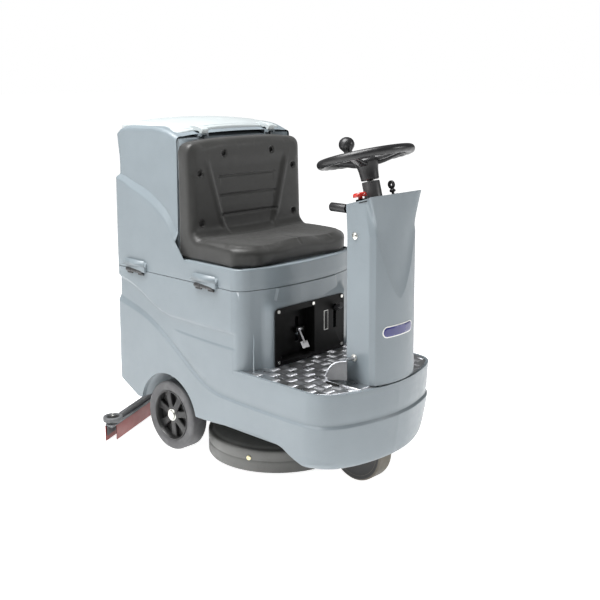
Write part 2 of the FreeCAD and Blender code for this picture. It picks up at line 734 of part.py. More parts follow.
def tank_upper_profile(inset=0.0):
    """Side outline above the seam: shoulder step at the rear, arched top."""
    t = inset
    start = V(TANK_REAR + t, 0, SEAM_Z + 2)
    corners = [V(TANK_REAR + t, 0, SHOULDER_Z), V(-454 + t, 0, 925), V(-484 + t, 0, 1066)]
    edges = []
    here = start
    for corner in corners:
        edges.append(Part.LineSegment(here, corner).toShape())
        here = corner
    top = V(-150 - t, 0, 1066)
    edges.append(Part.Arc(here, V(-320, 0, TANK_TOP_Z), top).toShape())
    for corner in (V(-150 - t, 0, SEAT_BASE_Z), V(SEAT_NOSE + 20, 0, SEAT_BASE_Z),
                   V(SEAT_NOSE + 30, 0, SEAM_Z + 2), start):
        edges.append(Part.LineSegment(top, corner).toShape())
        top = corner
    return Part.Face(Part.Wire(edges)).extrude(V(0, 2 * HALF_WIDTH, 0))


def recovery_tank():
    block = tank_upper_profile()
    block.translate(V(0, -HALF_WIDTH, 0))
    block = block.common(plan_prism(tank_plan(), SEAM_Z, 1100))
    upper_trim = both_sides(-500, -100, 258, 280, 925, 1100)
    hollow = box(-478, -159, -250, 250, 612, 905)
    neck = box(-440, -160, -246, 246, 905, 1030)
    mouth = box(-440, -190, -205, 205, 1030, 1100)
    under_seat = box(-140, 120, -240, 240, 590, 656)
    cutouts = upper_trim + [hollow, neck, mouth, under_seat]
    cutouts += [box(x - 50, x + 50, -HALF_WIDTH - 5, -HALF_WIDTH + 7, 583, 612)
                for x in tilt_hinge_places()]
    block = remove(block, cutouts)
    lugs = []
    for side in (-1, 1):
        for y in (LID_TAB_Y - 17, LID_TAB_Y + 11):
            y0, y1 = sorted((side * y, side * (y + 6)))
            lugs.append(polygon_xz([(LID_HINGE_X - 30, LID_HINGE_Z - 22),
                                    (SEAT_BACK_X - 1, LID_HINGE_Z - 22),
                                    (SEAT_BACK_X - 1, LID_HINGE_Z - 8),
                                    (LID_HINGE_X + 4, LID_HINGE_Z - 8),
                                    (LID_HINGE_X + 4, LID_HINGE_Z + 3),
                                    (LID_HINGE_X - 30, LID_HINGE_Z + 3)], y0, y1))
        y0, y1 = sorted((side * (LID_TAB_Y - 12), side * (LID_TAB_Y + 12)))
        lugs.append(rod(3.5, V(LID_HINGE_X, y0, LID_HINGE_Z - 1), V(LID_HINGE_X, y1, LID_HINGE_Z - 1)))
    relief = both_sides(LID_HINGE_X - 24, LID_HINGE_X + 20, LID_TAB_Y - 11, LID_TAB_Y + 11,
                        LID_HINGE_Z - 14, 1100)
    return join([remove(block, relief)] + lugs + hinge_covers())


def hinge_covers():
    """Raised brows on the right side that shade the tilt hinges."""
    covers = []
    for x in tilt_hinge_places():
        covers.append(polygon_xz([(x - 62, 613), (x + 62, 613), (x + 46, 634), (x - 46, 634)],
                                 -HALF_WIDTH - 10, -HALF_WIDTH + 2))
    return covers


def tank_hinge_pins():
    """Pins and their knuckles, screwed to the lower body's right wall."""
    leaves = []
    for x in tilt_hinge_places():
        pieces = [rod(TILT_PIN_R, V(x - 20, TILT_Y, TILT_Z), V(x + 20, TILT_Y, TILT_Z))]
        for x0 in (x - 44, x + 16):
            pieces.append(rod(7, V(x0, TILT_Y, TILT_Z), V(x0 + 28, TILT_Y, TILT_Z)))
            pieces.append(box(x0, x0 + 28, TILT_Y + 1, -HALF_WIDTH + 7, 584, TILT_Z - 2))
        leaves.append(join(pieces))
    return Part.makeCompound(leaves)


def tank_hinge_straps():
    straps = []
    for x in tilt_hinge_places():
        knuckle = rod(7, V(x - 15, TILT_Y, TILT_Z), V(x + 15, TILT_Y, TILT_Z))
        web = box(x - 15, x + 15, TILT_Y - 2, TILT_Y + 4, TILT_Z, 611.5)
        leaf = box(x - 15, x + 15, TILT_Y + 4, -HALF_WIDTH + 6.5, 603.5, 611.5)
        strap = join([knuckle, web, leaf])
        bore = rod(TILT_PIN_R + RUNNING, V(x - 20, TILT_Y, TILT_Z), V(x + 20, TILT_Y, TILT_Z))
        straps.append(remove(strap, [bore]))
    return Part.makeCompound(straps)


def tank_lid():
    """Domed lid, hollow below, with two tabs that wrap the hinge pins."""
    x0, x1 = -482.0, -172.0
    shell = dome(x0, x1, -242, 242, 1080, LID_TOP_Z, 1040)
    outline = rounded_box(x0 + 6, x1, -238, 238, 1030, 1120, 26)
    shell = shell.common(outline)
    floor = tank_upper_profile()
    floor.translate(V(0, -HALF_WIDTH, 1.0))
    hollow = dome(x0 + 18, x1 - 12, -226, 226, 1074, LID_TOP_Z - 5, 1000)
    tabs = []
    for side in (-1, 1):
        y0, y1 = sorted((side * (LID_TAB_Y - 10), side * (LID_TAB_Y + 10)))
        arm = polygon_xz([(-200, 1092), (-150, 1087), (LID_HINGE_X, 1084.5),
                          (LID_HINGE_X, 1077), (-150, 1077), (-176, 1086), (-200, 1086)], y0, y1)
        eye = rod(8, V(LID_HINGE_X, y0, LID_HINGE_Z - 1), V(LID_HINGE_X, y1, LID_HINGE_Z - 1))
        tabs += [arm, eye]
    lid = join([remove(shell, [floor, hollow])] + tabs)
    bore = rod(3.5 + RUNNING, V(LID_HINGE_X, -200, LID_HINGE_Z - 1),
               V(LID_HINGE_X, 200, LID_HINGE_Z - 1))
    return remove(lid, [bore])


def seat():
    """One-piece moulded seat: upright back and flat cushion, simple closed form."""
    back_points = [(SEAT_HALF, SEAT_BASE_Z + 1), (SEAT_HALF, 960), (248, 1020), (215, 1048),
                   (150, SEAT_TOP_Z - 4), (0, SEAT_TOP_Z)]
    outline = back_points + [(-y, z) for y, z in reversed(back_points[:-1])]
    corners = [V(SEAT_BACK_X, y, z) for y, z in outline]
    face = Part.Face(Part.makePolygon(corners + corners[:1]))
    back = face.extrude(V(SEAT_BACK_FRONT - SEAT_BACK_X, 0, 0))
    base = box(SEAT_BACK_X, SEAT_NOSE + 10, -SEAT_HALF, SEAT_HALF, SEAT_BASE_Z + 1, 722)
    base = base.common(plan_prism(tank_plan(8), 600, 800))
    body = join([back, base])
    front_face = SEAT_BACK_FRONT - 18
    holes = [rod(9, V(front_face, y, z), V(SEAT_BACK_FRONT + 5, y, z))
             for y, z in seat_bolt_places()]
    return remove(body, holes)


def seat_bolt_places():
    half = [(108, 1005), (212, 945), (211, 781)]
    return half + [(-y, z) for y, z in half]


def seat_bolts():
    bolts = []
    for y, z in seat_bolt_places():
        x = SEAT_BACK_FRONT - 18
        bolts.append(rod(8, V(x, y, z), V(x + 6, y, z)))
    return Part.makeCompound(bolts)


def suction_motor():
    """Two-stage vacuum motor hung under the seat base."""
    flange = rod(78, V(-20, 0, 650), V(-20, 0, 656))
    fan = rod(72, V(-20, 0, 590), V(-20, 0, 650))
    motor = rod(50, V(-20, 0, 500), V(-20, 0, 590))
    return join([flange, fan, motor])


def float_filter():
    """Float cage at the suction inlet, on the tank's front wall."""
    cage = ring(34, 30, V(-215, 0, 940), V(-215, 0, 1026))
    plates = [rod(31, V(-215, 0, z), V(-215, 0, z + 4)) for z in (940, 1022)]
    elbow = box(-183, -160, -14, 14, 985, 1010)
    return join([cage, elbow] + plates)


# ---- brush deck -----------------------------------------------------------------------

def brush_deck():
    """Round cover with a rolled ridge, hanging skirt and guide bushes."""
    profile = [(DECK_R, DECK_SKIRT_Z), (DECK_R, 78), (DECK_R - 8, 84), (DECK_R - 22, 90),
               (DECK_R - 60, 106), (DECK_R - 90, DECK_TOP_Z), (0, DECK_TOP_Z), (0, DECK_TOP_Z - 8),
               (DECK_R - 96, DECK_TOP_Z - 8), (DECK_R - 64, 98), (DECK_R - 26, 80),
               (DECK_R - 9, 72), (DECK_R - 9, DECK_SKIRT_Z)]
    corners = [V(DECK_X + r, 0, z) for r, z in profile]
    face = Part.Face(Part.makePolygon(corners + corners[:1]))
    cover = face.revolve(V(DECK_X, 0, 0), Z_AXIS, 360)
    bushes = [ring(16, GUIDE_R + RUNNING, V(DECK_X, side * GUIDE_Y, 112),
                   V(DECK_X, side * GUIDE_Y, 150)) for side in (-1, 1)]
    holes = [rod(GUIDE_R + RUNNING, V(DECK_X, side * GUIDE_Y, 90),
                 V(DECK_X, side * GUIDE_Y, 160)) for side in (-1, 1)]
    holes.append(rod(14, V(DECK_X, 0, 90), V(DECK_X, 0, 130)))
    return remove(join([cover] + bushes), holes)


def deck_bolts():
    """Screws that hold the rubber skirt to the deck's edge."""
    bolts = []
    for degrees in (-69, -23, 23, 69, 180):
        angle = math.radians(degrees)
        out = V(math.cos(angle), math.sin(angle), 0)
        at = V(DECK_X, 0, 55) + out * DECK_R
        bolts.append(rod(8, at, at + out * 3))
    return Part.makeCompound(bolts)


def brush_motor():
    gearbox = rod(58, V(DECK_X, 0, DECK_TOP_Z), V(DECK_X, 0, 158))
    gearbox = remove(gearbox, [rod(12, V(DECK_X, 0, DECK_TOP_Z - 2), V(DECK_X, 0, 140))])
    motor = rod(48, V(DECK_X, 0, 158), V(DECK_X, 0, 184))
    return join([gearbox, motor])


def brush_disc():
    plate = rod(DECK_R - 18, V(DECK_X, 0, 46), V(DECK_X, 0, 60))
    hub = rod(40, V(DECK_X, 0, 60), V(DECK_X, 0, 96))
    spindle = rod(10, V(DECK_X, 0, 96), V(DECK_X, 0, 136))
    return join([plate, hub, spindle])


def brush_bristles():
    return ring(DECK_R - 22, 110, V(DECK_X, 0, 2), V(DECK_X, 0, 46))


# ---- squeegee -------------------------------------------------------------------------

def blade_band(front, back, z0, z1, tip_trim=0.0):
    """A strip that follows the squeegee's plan curve, between two forward offsets."""
    t = tip_trim

    def run(offset, forward):
        slope = (BLADE_TIP_X - BLADE_BEND_X) / (BLADE_TIP_Y - BLADE_BEND_Y)
        tip_x = BLADE_TIP_X + offset - t * slope
        tip = V(tip_x, BLADE_TIP_Y - t, z0)
        bend = V(BLADE_BEND_X + offset, BLADE_BEND_Y, z0)
        middle = V(BLADE_MID_X + offset, 0, z0)
        low_bend = V(bend.x, -bend.y, z0)
        low_tip = V(tip.x, -tip.y, z0)
        edges = [Part.LineSegment(low_tip, low_bend).toShape(),
                 Part.Arc(low_bend, middle, bend).toShape(),
                 Part.LineSegment(bend, tip).toShape()]
        return edges, (low_tip if forward else tip), (tip if forward else low_tip)

    outer, outer_a, outer_b = run(back, True)
    inner, inner_a, inner_b = run(front, True)
    edges = outer + inner
    edges.append(Part.LineSegment(outer_b, inner_b).toShape())
    edges.append(Part.LineSegment(outer_a, inner_a).toShape())
    wire = Part.Wire(Part.__sortEdges__(edges))
    return Part.Face(wire).extrude(V(0, 0, z1 - z0))


def squeegee_blades():
    rear = blade_band(-7, -11, 0, 56)
    front = blade_band(30, 26, 3, 56, 30)
    return Part.makeCompound([rear, front])


def squeegee_frame():
    """Curved channel, hose port, lifting arms and roller brackets."""
    channel = blade_band(30, -11, 56, 61, 2)
    rail = blade_band(18, 2, 61, 78, 75)
    rear_lip = blade_band(-2, -7, 20, 56, 6)
    front_lip = blade_band(26, 21, 24, 56, 32)
    strap = blade_band(-11, -STRAP_BACK, 38, 56, 12)
    arms = []
    for side in (-1, 1):
        y0, y1 = sorted((side * 54, side * 61))
        arms.append(polygon_xz([(-546, 60), (-516, 60), (-420, 94), (-322, 166), (-322, 194),
                                (-346, 196), (-440, 130), (-546, 82)], y0, y1))
    spreader = box(-420, -405, -54, 54, 100, 112)
    port = rod(25, V(PORT_X, 0, 60), V(PORT_X, 0, 107))
    port_collar = rod(29, V(PORT_X, 0, 60), V(PORT_X, 0, 81))
    port_hole = rod(21, V(PORT_X, 0, 56), V(PORT_X, 0, 110))
    brackets = [box(ROLLER_X - 30, ROLLER_X + 12, *sorted((side * 318, side * 352)), 56, 61)
                for side in (-1, 1)]
    posts = [rod(6, V(ROLLER_X, side * ROLLER_Y, 58), V(ROLLER_X, side * ROLLER_Y, 88))
             for side in (-1, 1)]
    frame = join([channel, rail, rear_lip, front_lip, port, port_collar, spreader] + arms + brackets + posts)
    bore = rod(8 + RUNNING, V(SQUEEGEE_PIVOT_X, -80, SQUEEGEE_PIVOT_Z),
               V(SQUEEGEE_PIVOT_X, 80, SQUEEGEE_PIVOT_Z))
    return Part.makeCompound([remove(frame, [bore, port_hole]), strap])


def squeegee_roller(side):
    disc = rod(ROLLER_R, V(ROLLER_X, side * ROLLER_Y, ROLLER_Z), V(ROLLER_X, side * ROLLER_Y, ROLLER_Z + 18))
    outer = [e for e in disc.Edges if e.Length > 150]
    disc = disc.makeFillet(3, outer)
    dish = rod(22, V(ROLLER_X, side * ROLLER_Y, ROLLER_Z + 12), V(ROLLER_X, side * ROLLER_Y, ROLLER_Z + 20))
    bore = rod(6 + RUNNING, V(ROLLER_X, side * ROLLER_Y, 50), V(ROLLER_X, side * ROLLER_Y, 90))
    return remove(disc, [dish, bore])


# ---- controls -------------------------------------------------------------------------

def accelerator_pedal():
    """Folded plate: heel, steep ramp, long flat tread, with a cheek on each side."""
    outline = [(PEDAL_X, 352), (PEDAL_X + 9, 388), (PEDAL_X + 22, 402), (PEDAL_X + 38, 410),
               (PEDAL_X + 86, 431), (PEDAL_X + 86, 428), (PEDAL_X + 40, 406),
               (PEDAL_X + 24, 399), (PEDAL_X + 12, 386), (PEDAL_X + 4, 352)]
    tread = polygon_xz(outline, -156, -111)
    cheek_points = [(PEDAL_X + 2, 352), (PEDAL_X + 11, 387), (PEDAL_X + 24, 400),
                    (PEDAL_X + 40, 407), (PEDAL_X + 62, 416), (PEDAL_X + 50, 366)]
    cheeks = [polygon_xz(cheek_points, -154, -151), polygon_xz(cheek_points, -116, -113)]
    hub = rod(5, V(PEDAL_X + 6, -156, PEDAL_Z + 1), V(PEDAL_X + 6, -111, PEDAL_Z + 1))
    bore = rod(3 + RUNNING, V(PEDAL_X + 6, -160, PEDAL_Z + 1), V(PEDAL_X + 6, -100, PEDAL_Z + 1))
    return remove(join([tread, hub] + cheeks), [bore])


def direction_lever():
    """Forward and reverse selector: a rod that swings on an upright pin."""
    grip = rod(13.5, V(375, -87, 870), V(436, -87, 870))
    neck = rod(6, V(436, -87, 870), V(470, -87, 870))
    boss = rod(8, V(472, -87, 862), V(472, -87, 878))
    bore = rod(3 + RUNNING, V(472, -87, 850), V(472, -87, 890))
    return remove(join([grip, neck, boss]), [bore])


def deck_lever():
    """Hand lever in the panel's slot; raising it lowers the deck."""
    hub = rod(10, V(DECK_LEVER_X, DECK_LEVER_Y - 4, DECK_LEVER_Z),
              V(DECK_LEVER_X, DECK_LEVER_Y + 4, DECK_LEVER_Z))
    arm = polygon_xz([(DECK_LEVER_X, 461), (DECK_LEVER_X, 469), (212, 496), (216, 488)],
                     DECK_LEVER_Y - 4, DECK_LEVER_Y + 4)
    grip = rod(9, V(212, DECK_LEVER_Y, 491), V(238, DECK_LEVER_Y, 507))
    bore = rod(4 + RUNNING, V(DECK_LEVER_X, DECK_LEVER_Y - 20, DECK_LEVER_Z),
               V(DECK_LEVER_X, DECK_LEVER_Y + 20, DECK_LEVER_Z))
    return remove(join([hub, arm, grip]), [bore])


def squeegee_lever():
    """Foot lever in the panel's pocket that lifts the squeegee."""
    hub = rod(8, V(FOOT_LEVER_X, FOOT_LEVER_Y - 10, FOOT_LEVER_Z),
              V(FOOT_LEVER_X, FOOT_LEVER_Y + 10, FOOT_LEVER_Z))
    arm = polygon_xz([(168, 440), (176, 436), (200, 398), (193, 392)],
                     FOOT_LEVER_Y - 4, FOOT_LEVER_Y + 4)
    pad = polygon_xz([(190, 402), (194, 404), (206, 384), (202, 381)],
                     FOOT_LEVER_Y - 16, FOOT_LEVER_Y + 16)
    bore = rod(4 + RUNNING, V(FOOT_LEVER_X, FOOT_LEVER_Y - 20, FOOT_LEVER_Z),
               V(FOOT_LEVER_X, FOOT_LEVER_Y + 20, FOOT_LEVER_Z))
    return remove(join([hub, arm, pad]), [bore])


def estop_base():
    collar = ring(15, 7 + RUNNING, V(-2, -58, DASH_S), V(-2, -58, -6))
    barrel = ring(8.6, 7 + RUNNING, V(-2, -58, DASH_S - 24), V(-2, -58, DASH_S))
    return on_column(join([collar, barrel]))


def emergency_button():
    stem = rod(7, V(-2, -58, DASH_S - 14), V(-2, -58, 1))
    head = rod(21, V(-2, -58, 0), V(-2, -58, 13))
    head = head.makeFillet(6, [e for e in head.Edges if e.CenterOfMass.z > 12])
    return on_column(join([stem, head]))


def key_switch():
    barrel = ring(9.5, 5, V(38, 48, DASH_S - 22), V(38, 48, DASH_S))
    bezel = ring(15, 5, V(38, 48, DASH_S), V(38, 48, -8))
    floor = rod(9.5, V(38, 48, DASH_S - 26), V(38, 48, DASH_S - 22))
    return on_column(join([barrel, bezel, floor]))


def ignition_key():
    blade = rod(4.6, V(38, 48, DASH_S - 18), V(38, 48, 0))
    neck = box(34, 42, 46, 50, 0, 8)
    head = rod(12, V(38, 46, 18), V(38, 50, 18))
    eye = rod(4, V(38, 45, 20), V(38, 51, 20))
    return on_column(remove(join([blade, neck, head]), [eye]))


def battery_gauge():
    bezel = ring(23, 19, V(45, -45, DASH_S), V(45, -45, DASH_S + 3))
    body = rod(19, V(45, -45, DASH_S - 20), V(45, -45, DASH_S + 1.5))
    return on_column(join([bezel, body]))


# ---- export ---------------------------------------------------------------------------

PARTS = {
    "chassis_frame": chassis_frame,
    "lower_body": lower_body,
    "footplate": footplate,
    "filler_cap": filler_cap,
    "squeegee_pivot": squeegee_pivot,
    "rear_axle": rear_axle,
    "steering_bearings": steering_bearings,
    "batteries": batteries,
    "motor_controller": motor_controller,
    "charge_socket": charge_socket,
    "control_panel": control_panel,
    "cover_bolts": cover_bolts,
    "panel_label": panel_label,
    "column_cover": column_cover,
    "column_rear_cover": column_rear_cover,
    "column_frame": column_frame,
    "column_badge": column_badge,
    "dash_panel": dash_panel,
    "column_tube": column_tube,
    "steering_shaft": steering_shaft,
    "steering_wheel": steering_wheel,
    "steering_hub_cap": steering_hub_cap,
    "spinner_knob": spinner_knob,
    "pinion_shaft": pinion_shaft,
    "steering_gear": steering_gear,
    "drive_fork": drive_fork,
    "drive_axle": drive_axle,
    "drive_motor": drive_motor,
    "drive_rim": drive_rim,
    "drive_tyre": drive_tyre,
    "rear_rim_left": lambda: rear_rim(1),
    "rear_rim_right": lambda: rear_rim(-1),
    "rear_tyre_left": lambda: rear_tyre(1),
    "rear_tyre_right": lambda: rear_tyre(-1),
    "recovery_tank": recovery_tank,
    "tank_hinge_pins": tank_hinge_pins,
    "tank_hinge_straps": tank_hinge_straps,
    "tank_lid": tank_lid,
    "seat": seat,
    "seat_bolts": seat_bolts,
    "suction_motor": suction_motor,
    "float_filter": float_filter,
    "brush_deck": brush_deck,
    "deck_bolts": deck_bolts,
    "brush_motor": brush_motor,
    "brush_disc": brush_disc,
    "brush_bristles": brush_bristles,
    "squeegee_frame": squeegee_frame,
    "squeegee_blades": squeegee_blades,
    "squeegee_roller_left": lambda: squeegee_roller(1),
    "squeegee_roller_right": lambda: squeegee_roller(-1),
    "accelerator_pedal": accelerator_pedal,
    "direction_lever": direction_lever,
    "deck_lever": deck_lever,
    "squeegee_lever": squeegee_lever,
    "estop_base": estop_base,
    "emergency_button": emergency_button,
    "key_switch": key_switch,
    "ignition_key": ignition_key,
    "battery_gauge": battery_gauge,
}

os.makedirs("parts", exist_ok=True)
for name, make in PARTS.items():
    shape = make()
    shape.exportStep(os.path.join("parts", name + ".step"))
    limits = shape.optimalBoundingBox(False)
    print(f"{name}: {len(shape.Solids)} solids, valid {shape.isValid()}, "
          f"x {limits.XMin:.1f}..{limits.XMax:.1f} y {limits.YMin:.1f}..{limits.YMax:.1f} "
          f"z {limits.ZMin:.1f}..{limits.ZMax:.1f}")
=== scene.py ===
import math
import random

import bmesh
import bpy
from mathutils import Matrix, Vector


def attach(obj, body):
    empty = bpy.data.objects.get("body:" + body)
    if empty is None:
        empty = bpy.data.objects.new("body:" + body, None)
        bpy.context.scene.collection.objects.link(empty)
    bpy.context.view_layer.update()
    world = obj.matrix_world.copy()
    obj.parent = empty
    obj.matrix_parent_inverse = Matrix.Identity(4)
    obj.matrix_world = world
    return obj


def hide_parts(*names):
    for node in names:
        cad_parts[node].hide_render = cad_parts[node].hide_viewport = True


# Looks of a ride-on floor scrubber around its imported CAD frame.
# The object's lengths are millimetres until they reach a mesh or a modifier, which is in metres.
# The camera, the floor and the lights are given in metres.
# +X is the direction of travel, the right side is Y < 0, the floor is Z = 0.

MM = 0.001
MERGE = 2e-5             # metres; closer vertices are one
STEERING_AT = (464.5, 0, 905)
STEERING_LEAN = -15      # degrees about Y
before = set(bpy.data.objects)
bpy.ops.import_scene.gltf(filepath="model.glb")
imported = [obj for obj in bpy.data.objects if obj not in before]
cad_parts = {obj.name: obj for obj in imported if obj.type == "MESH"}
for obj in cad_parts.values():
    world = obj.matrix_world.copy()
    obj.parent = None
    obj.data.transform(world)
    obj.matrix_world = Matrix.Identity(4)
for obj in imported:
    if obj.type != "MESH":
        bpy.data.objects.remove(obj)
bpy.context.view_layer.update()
random.seed(7)


# ---- numbers and curves ---------------------------------------------------------------

def mix(a, b, t):
    return a + (b - a) * t


def ease(t):
    t = min(1.0, max(0.0, t))
    return t * t * (3 - 2 * t)


def steps(count, start=0.0, end=1.0):
    return [mix(start, end, i / (count - 1)) for i in range(count)]


def around(count):
    """count even angles round a circle."""
    return [2 * math.pi * i / count for i in range(count)]


def curve(points, x):
    """Smooth value at x through (x, value) points whose x rises."""
    if x <= points[0][0]:
        return points[0][1]
    if x >= points[-1][0]:
        return points[-1][1]
    i = next(k for k in range(len(points) - 1) if x <= points[k + 1][0])
    slope = [(b[1] - a[1]) / (b[0] - a[0]) for a, b in zip(points, points[1:])]
    left = slope[i] if i == 0 else (slope[i - 1] + slope[i]) / 2
    right = slope[i] if i == len(slope) - 1 else (slope[i] + slope[i + 1]) / 2
    (x0, y0), (x1, y1) = points[i], points[i + 1]
    w = x1 - x0
    t = (x - x0) / w
    return ((2 * t**3 - 3 * t**2 + 1) * y0 + (t**3 - 2 * t**2 + t) * w * left
            + (3 * t**2 - 2 * t**3) * y1 + (t**3 - t**2) * w * right)


def spline(points, count):
    """count points at even parameter along a smooth line through 2-D or 3-D points."""
    keys = [Vector(p) for p in points]
    out = []
    for s in steps(count, 0, len(keys) - 1):
        i = min(int(s), len(keys) - 2)
        t = s - i
        a, b = keys[i], keys[i + 1]
        before = keys[i - 1] if i else a * 2 - b
        after = keys[i + 2] if i + 2 < len(keys) else b * 2 - a
        out.append(0.5 * (2 * a + (b - before) * t + (2 * before - 5 * a + 4 * b - after) * t**2
                          + (3 * a - before - 3 * b + after) * t**3))
    return out


# ---- mesh building --------------------------------------------------------------------

def grid(columns, closed=False):
    """Vertices and faces of a sheet whose columns are lists of points of equal length."""
    rows = len(columns[0])
    vertices = [Vector(p) for column in columns for p in column]
    faces = []
    last = len(columns) if closed else len(columns) - 1
    for c in range(last):
        n = (c + 1) % len(columns)
        for r in range(rows - 1):
            faces.append((c * rows + r, n * rows + r, n * rows + r + 1, c * rows + r + 1))
    return vertices, faces


def join(*parts):
    vertices, faces = [], []
    for v, f in parts:
        base = len(vertices)
        vertices += v
        faces += [tuple(i + base for i in face) for face in f]
    return vertices, faces


def mirrored(part):
    vertices, faces = part
    return [Vector((v[0], -v[1], v[2])) for v in vertices], [tuple(reversed(f)) for f in faces]


def placed(part, matrix):
    return [matrix @ Vector(v) for v in part[0]], part[1]


def lathe(profile, sides=64, closed=True):
    """Turns (radius, height) points about Z. A closed profile makes a ring-shaped solid."""
    columns = []
    for a in around(sides):
        columns.append([(r * math.cos(a), r * math.sin(a), h) for r, h in profile])
        if closed:
            columns[-1].append(columns[-1][0])
    return grid(columns, closed=True)


def block(x0, x1, y0, y1, z0, z1):
    corners = [(x, y, z) for x in (x0, x1) for y in (y0, y1) for z in (z0, z1)]
    faces = [(0, 1, 3, 2), (4, 6, 7, 5), (0, 4, 5, 1), (2, 3, 7, 6), (0, 2, 6, 4), (1, 5, 7, 3)]
    return [Vector(c) for c in corners], faces


def prism(outline, low, high):
    """Solid between two copies of a plan outline, at two heights."""
    n = len(outline)
    vertices = [Vector((x, y, z)) for z in (low, high) for x, y in outline]
    faces = [tuple(reversed(range(n))), tuple(range(n, 2 * n))]
    faces += [(i, (i + 1) % n, n + (i + 1) % n, n + i) for i in range(n)]
    return vertices, faces


def tube(points, radius, sides):
    """Round bar along points."""
    keys = [Vector(p) for p in points]
    n = len(keys)
    rings = []
    up = Vector((0, 0, 1)) if abs((keys[1] - keys[0]).normalized().z) < 0.9 else Vector((1, 0, 0))
    for i, key in enumerate(keys):
        along = (keys[min(i + 1, n - 1)] - keys[max(i - 1, 0)]).normalized()
        side = along.cross(up).normalized()
        up = side.cross(along)
        rings.append([key + (side * math.cos(a) + up * math.sin(a)) * radius
                      for a in around(sides)])
    vertices = [p for row in rings for p in row]
    faces = []
    for i in range(n - 1):
        for k in range(sides):
            m = (k + 1) % sides
            faces.append((i * sides + k, i * sides + m, (i + 1) * sides + m, (i + 1) * sides + k))
    faces.append(tuple(reversed(range(sides))))
    faces.append(tuple(range((n - 1) * sides, n * sides)))
    return vertices, faces


def turned(axis_start, axis_end):
    """Matrix that puts Z = 0..length of a lathed part on the line between two points."""
    start, end = Vector(axis_start), Vector(axis_end)
    return Matrix.Translation(start) @ (end - start).to_track_quat("Z", "Y").to_matrix().to_4x4()


def on_column():
    """Matrix that places a part from the steering axis's own frame."""
    return Matrix.Translation(STEERING_AT) @ Matrix.Rotation(math.radians(STEERING_LEAN), 4, "Y")


def linked(name, data):
    """A new object in the scene."""
    obj = bpy.data.objects.new(name, data)
    bpy.context.scene.collection.objects.link(obj)
    return obj


def piece(name, part, body, slot, replaces=(), smooth=35):
    """A mesh object in metres that rides on a body, with its slot's material."""
    vertices, faces = part
    mesh = bpy.data.meshes.new(name)
    mesh.from_pydata([Vector(v) * MM for v in vertices], [], faces)
    bm = bmesh.new()
    bm.from_mesh(mesh)
    bmesh.ops.remove_doubles(bm, verts=bm.verts, dist=MERGE)
    bmesh.ops.dissolve_degenerate(bm, dist=1e-6, edges=bm.edges)
    bmesh.ops.recalc_face_normals(bm, faces=bm.faces)
    bm.to_mesh(mesh)
    bm.free()
    obj = linked(name, mesh)
    dress(obj, slot, smooth)
    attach(obj, body)
    if replaces:
        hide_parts(*replaces)
    return obj


def coat(obj, slot):
    obj.data.materials.clear()
    obj.data.materials.append(material(slot))


def dress(obj, slot, smooth):
    """Material named after the slot, and shading that turns sharp over smooth degrees."""
    coat(obj, slot)
    obj.data.shade_smooth()
    obj.data.set_sharp_from_angle(angle=math.radians(smooth))


def soften(obj, width, segments=2, angle=45):
    """Rounds edges sharper than angle."""
    bevel = obj.modifiers.new("soften", "BEVEL")
    bevel.width = width * MM
    bevel.segments = segments
    bevel.limit_method = "ANGLE"
    bevel.angle_limit = math.radians(angle)
    return obj


def thicken(obj, depth):
    wall = obj.modifiers.new("wall", "SOLIDIFY")
    wall.thickness = depth * MM


# ---- materials ------------------------------------------------------------------------

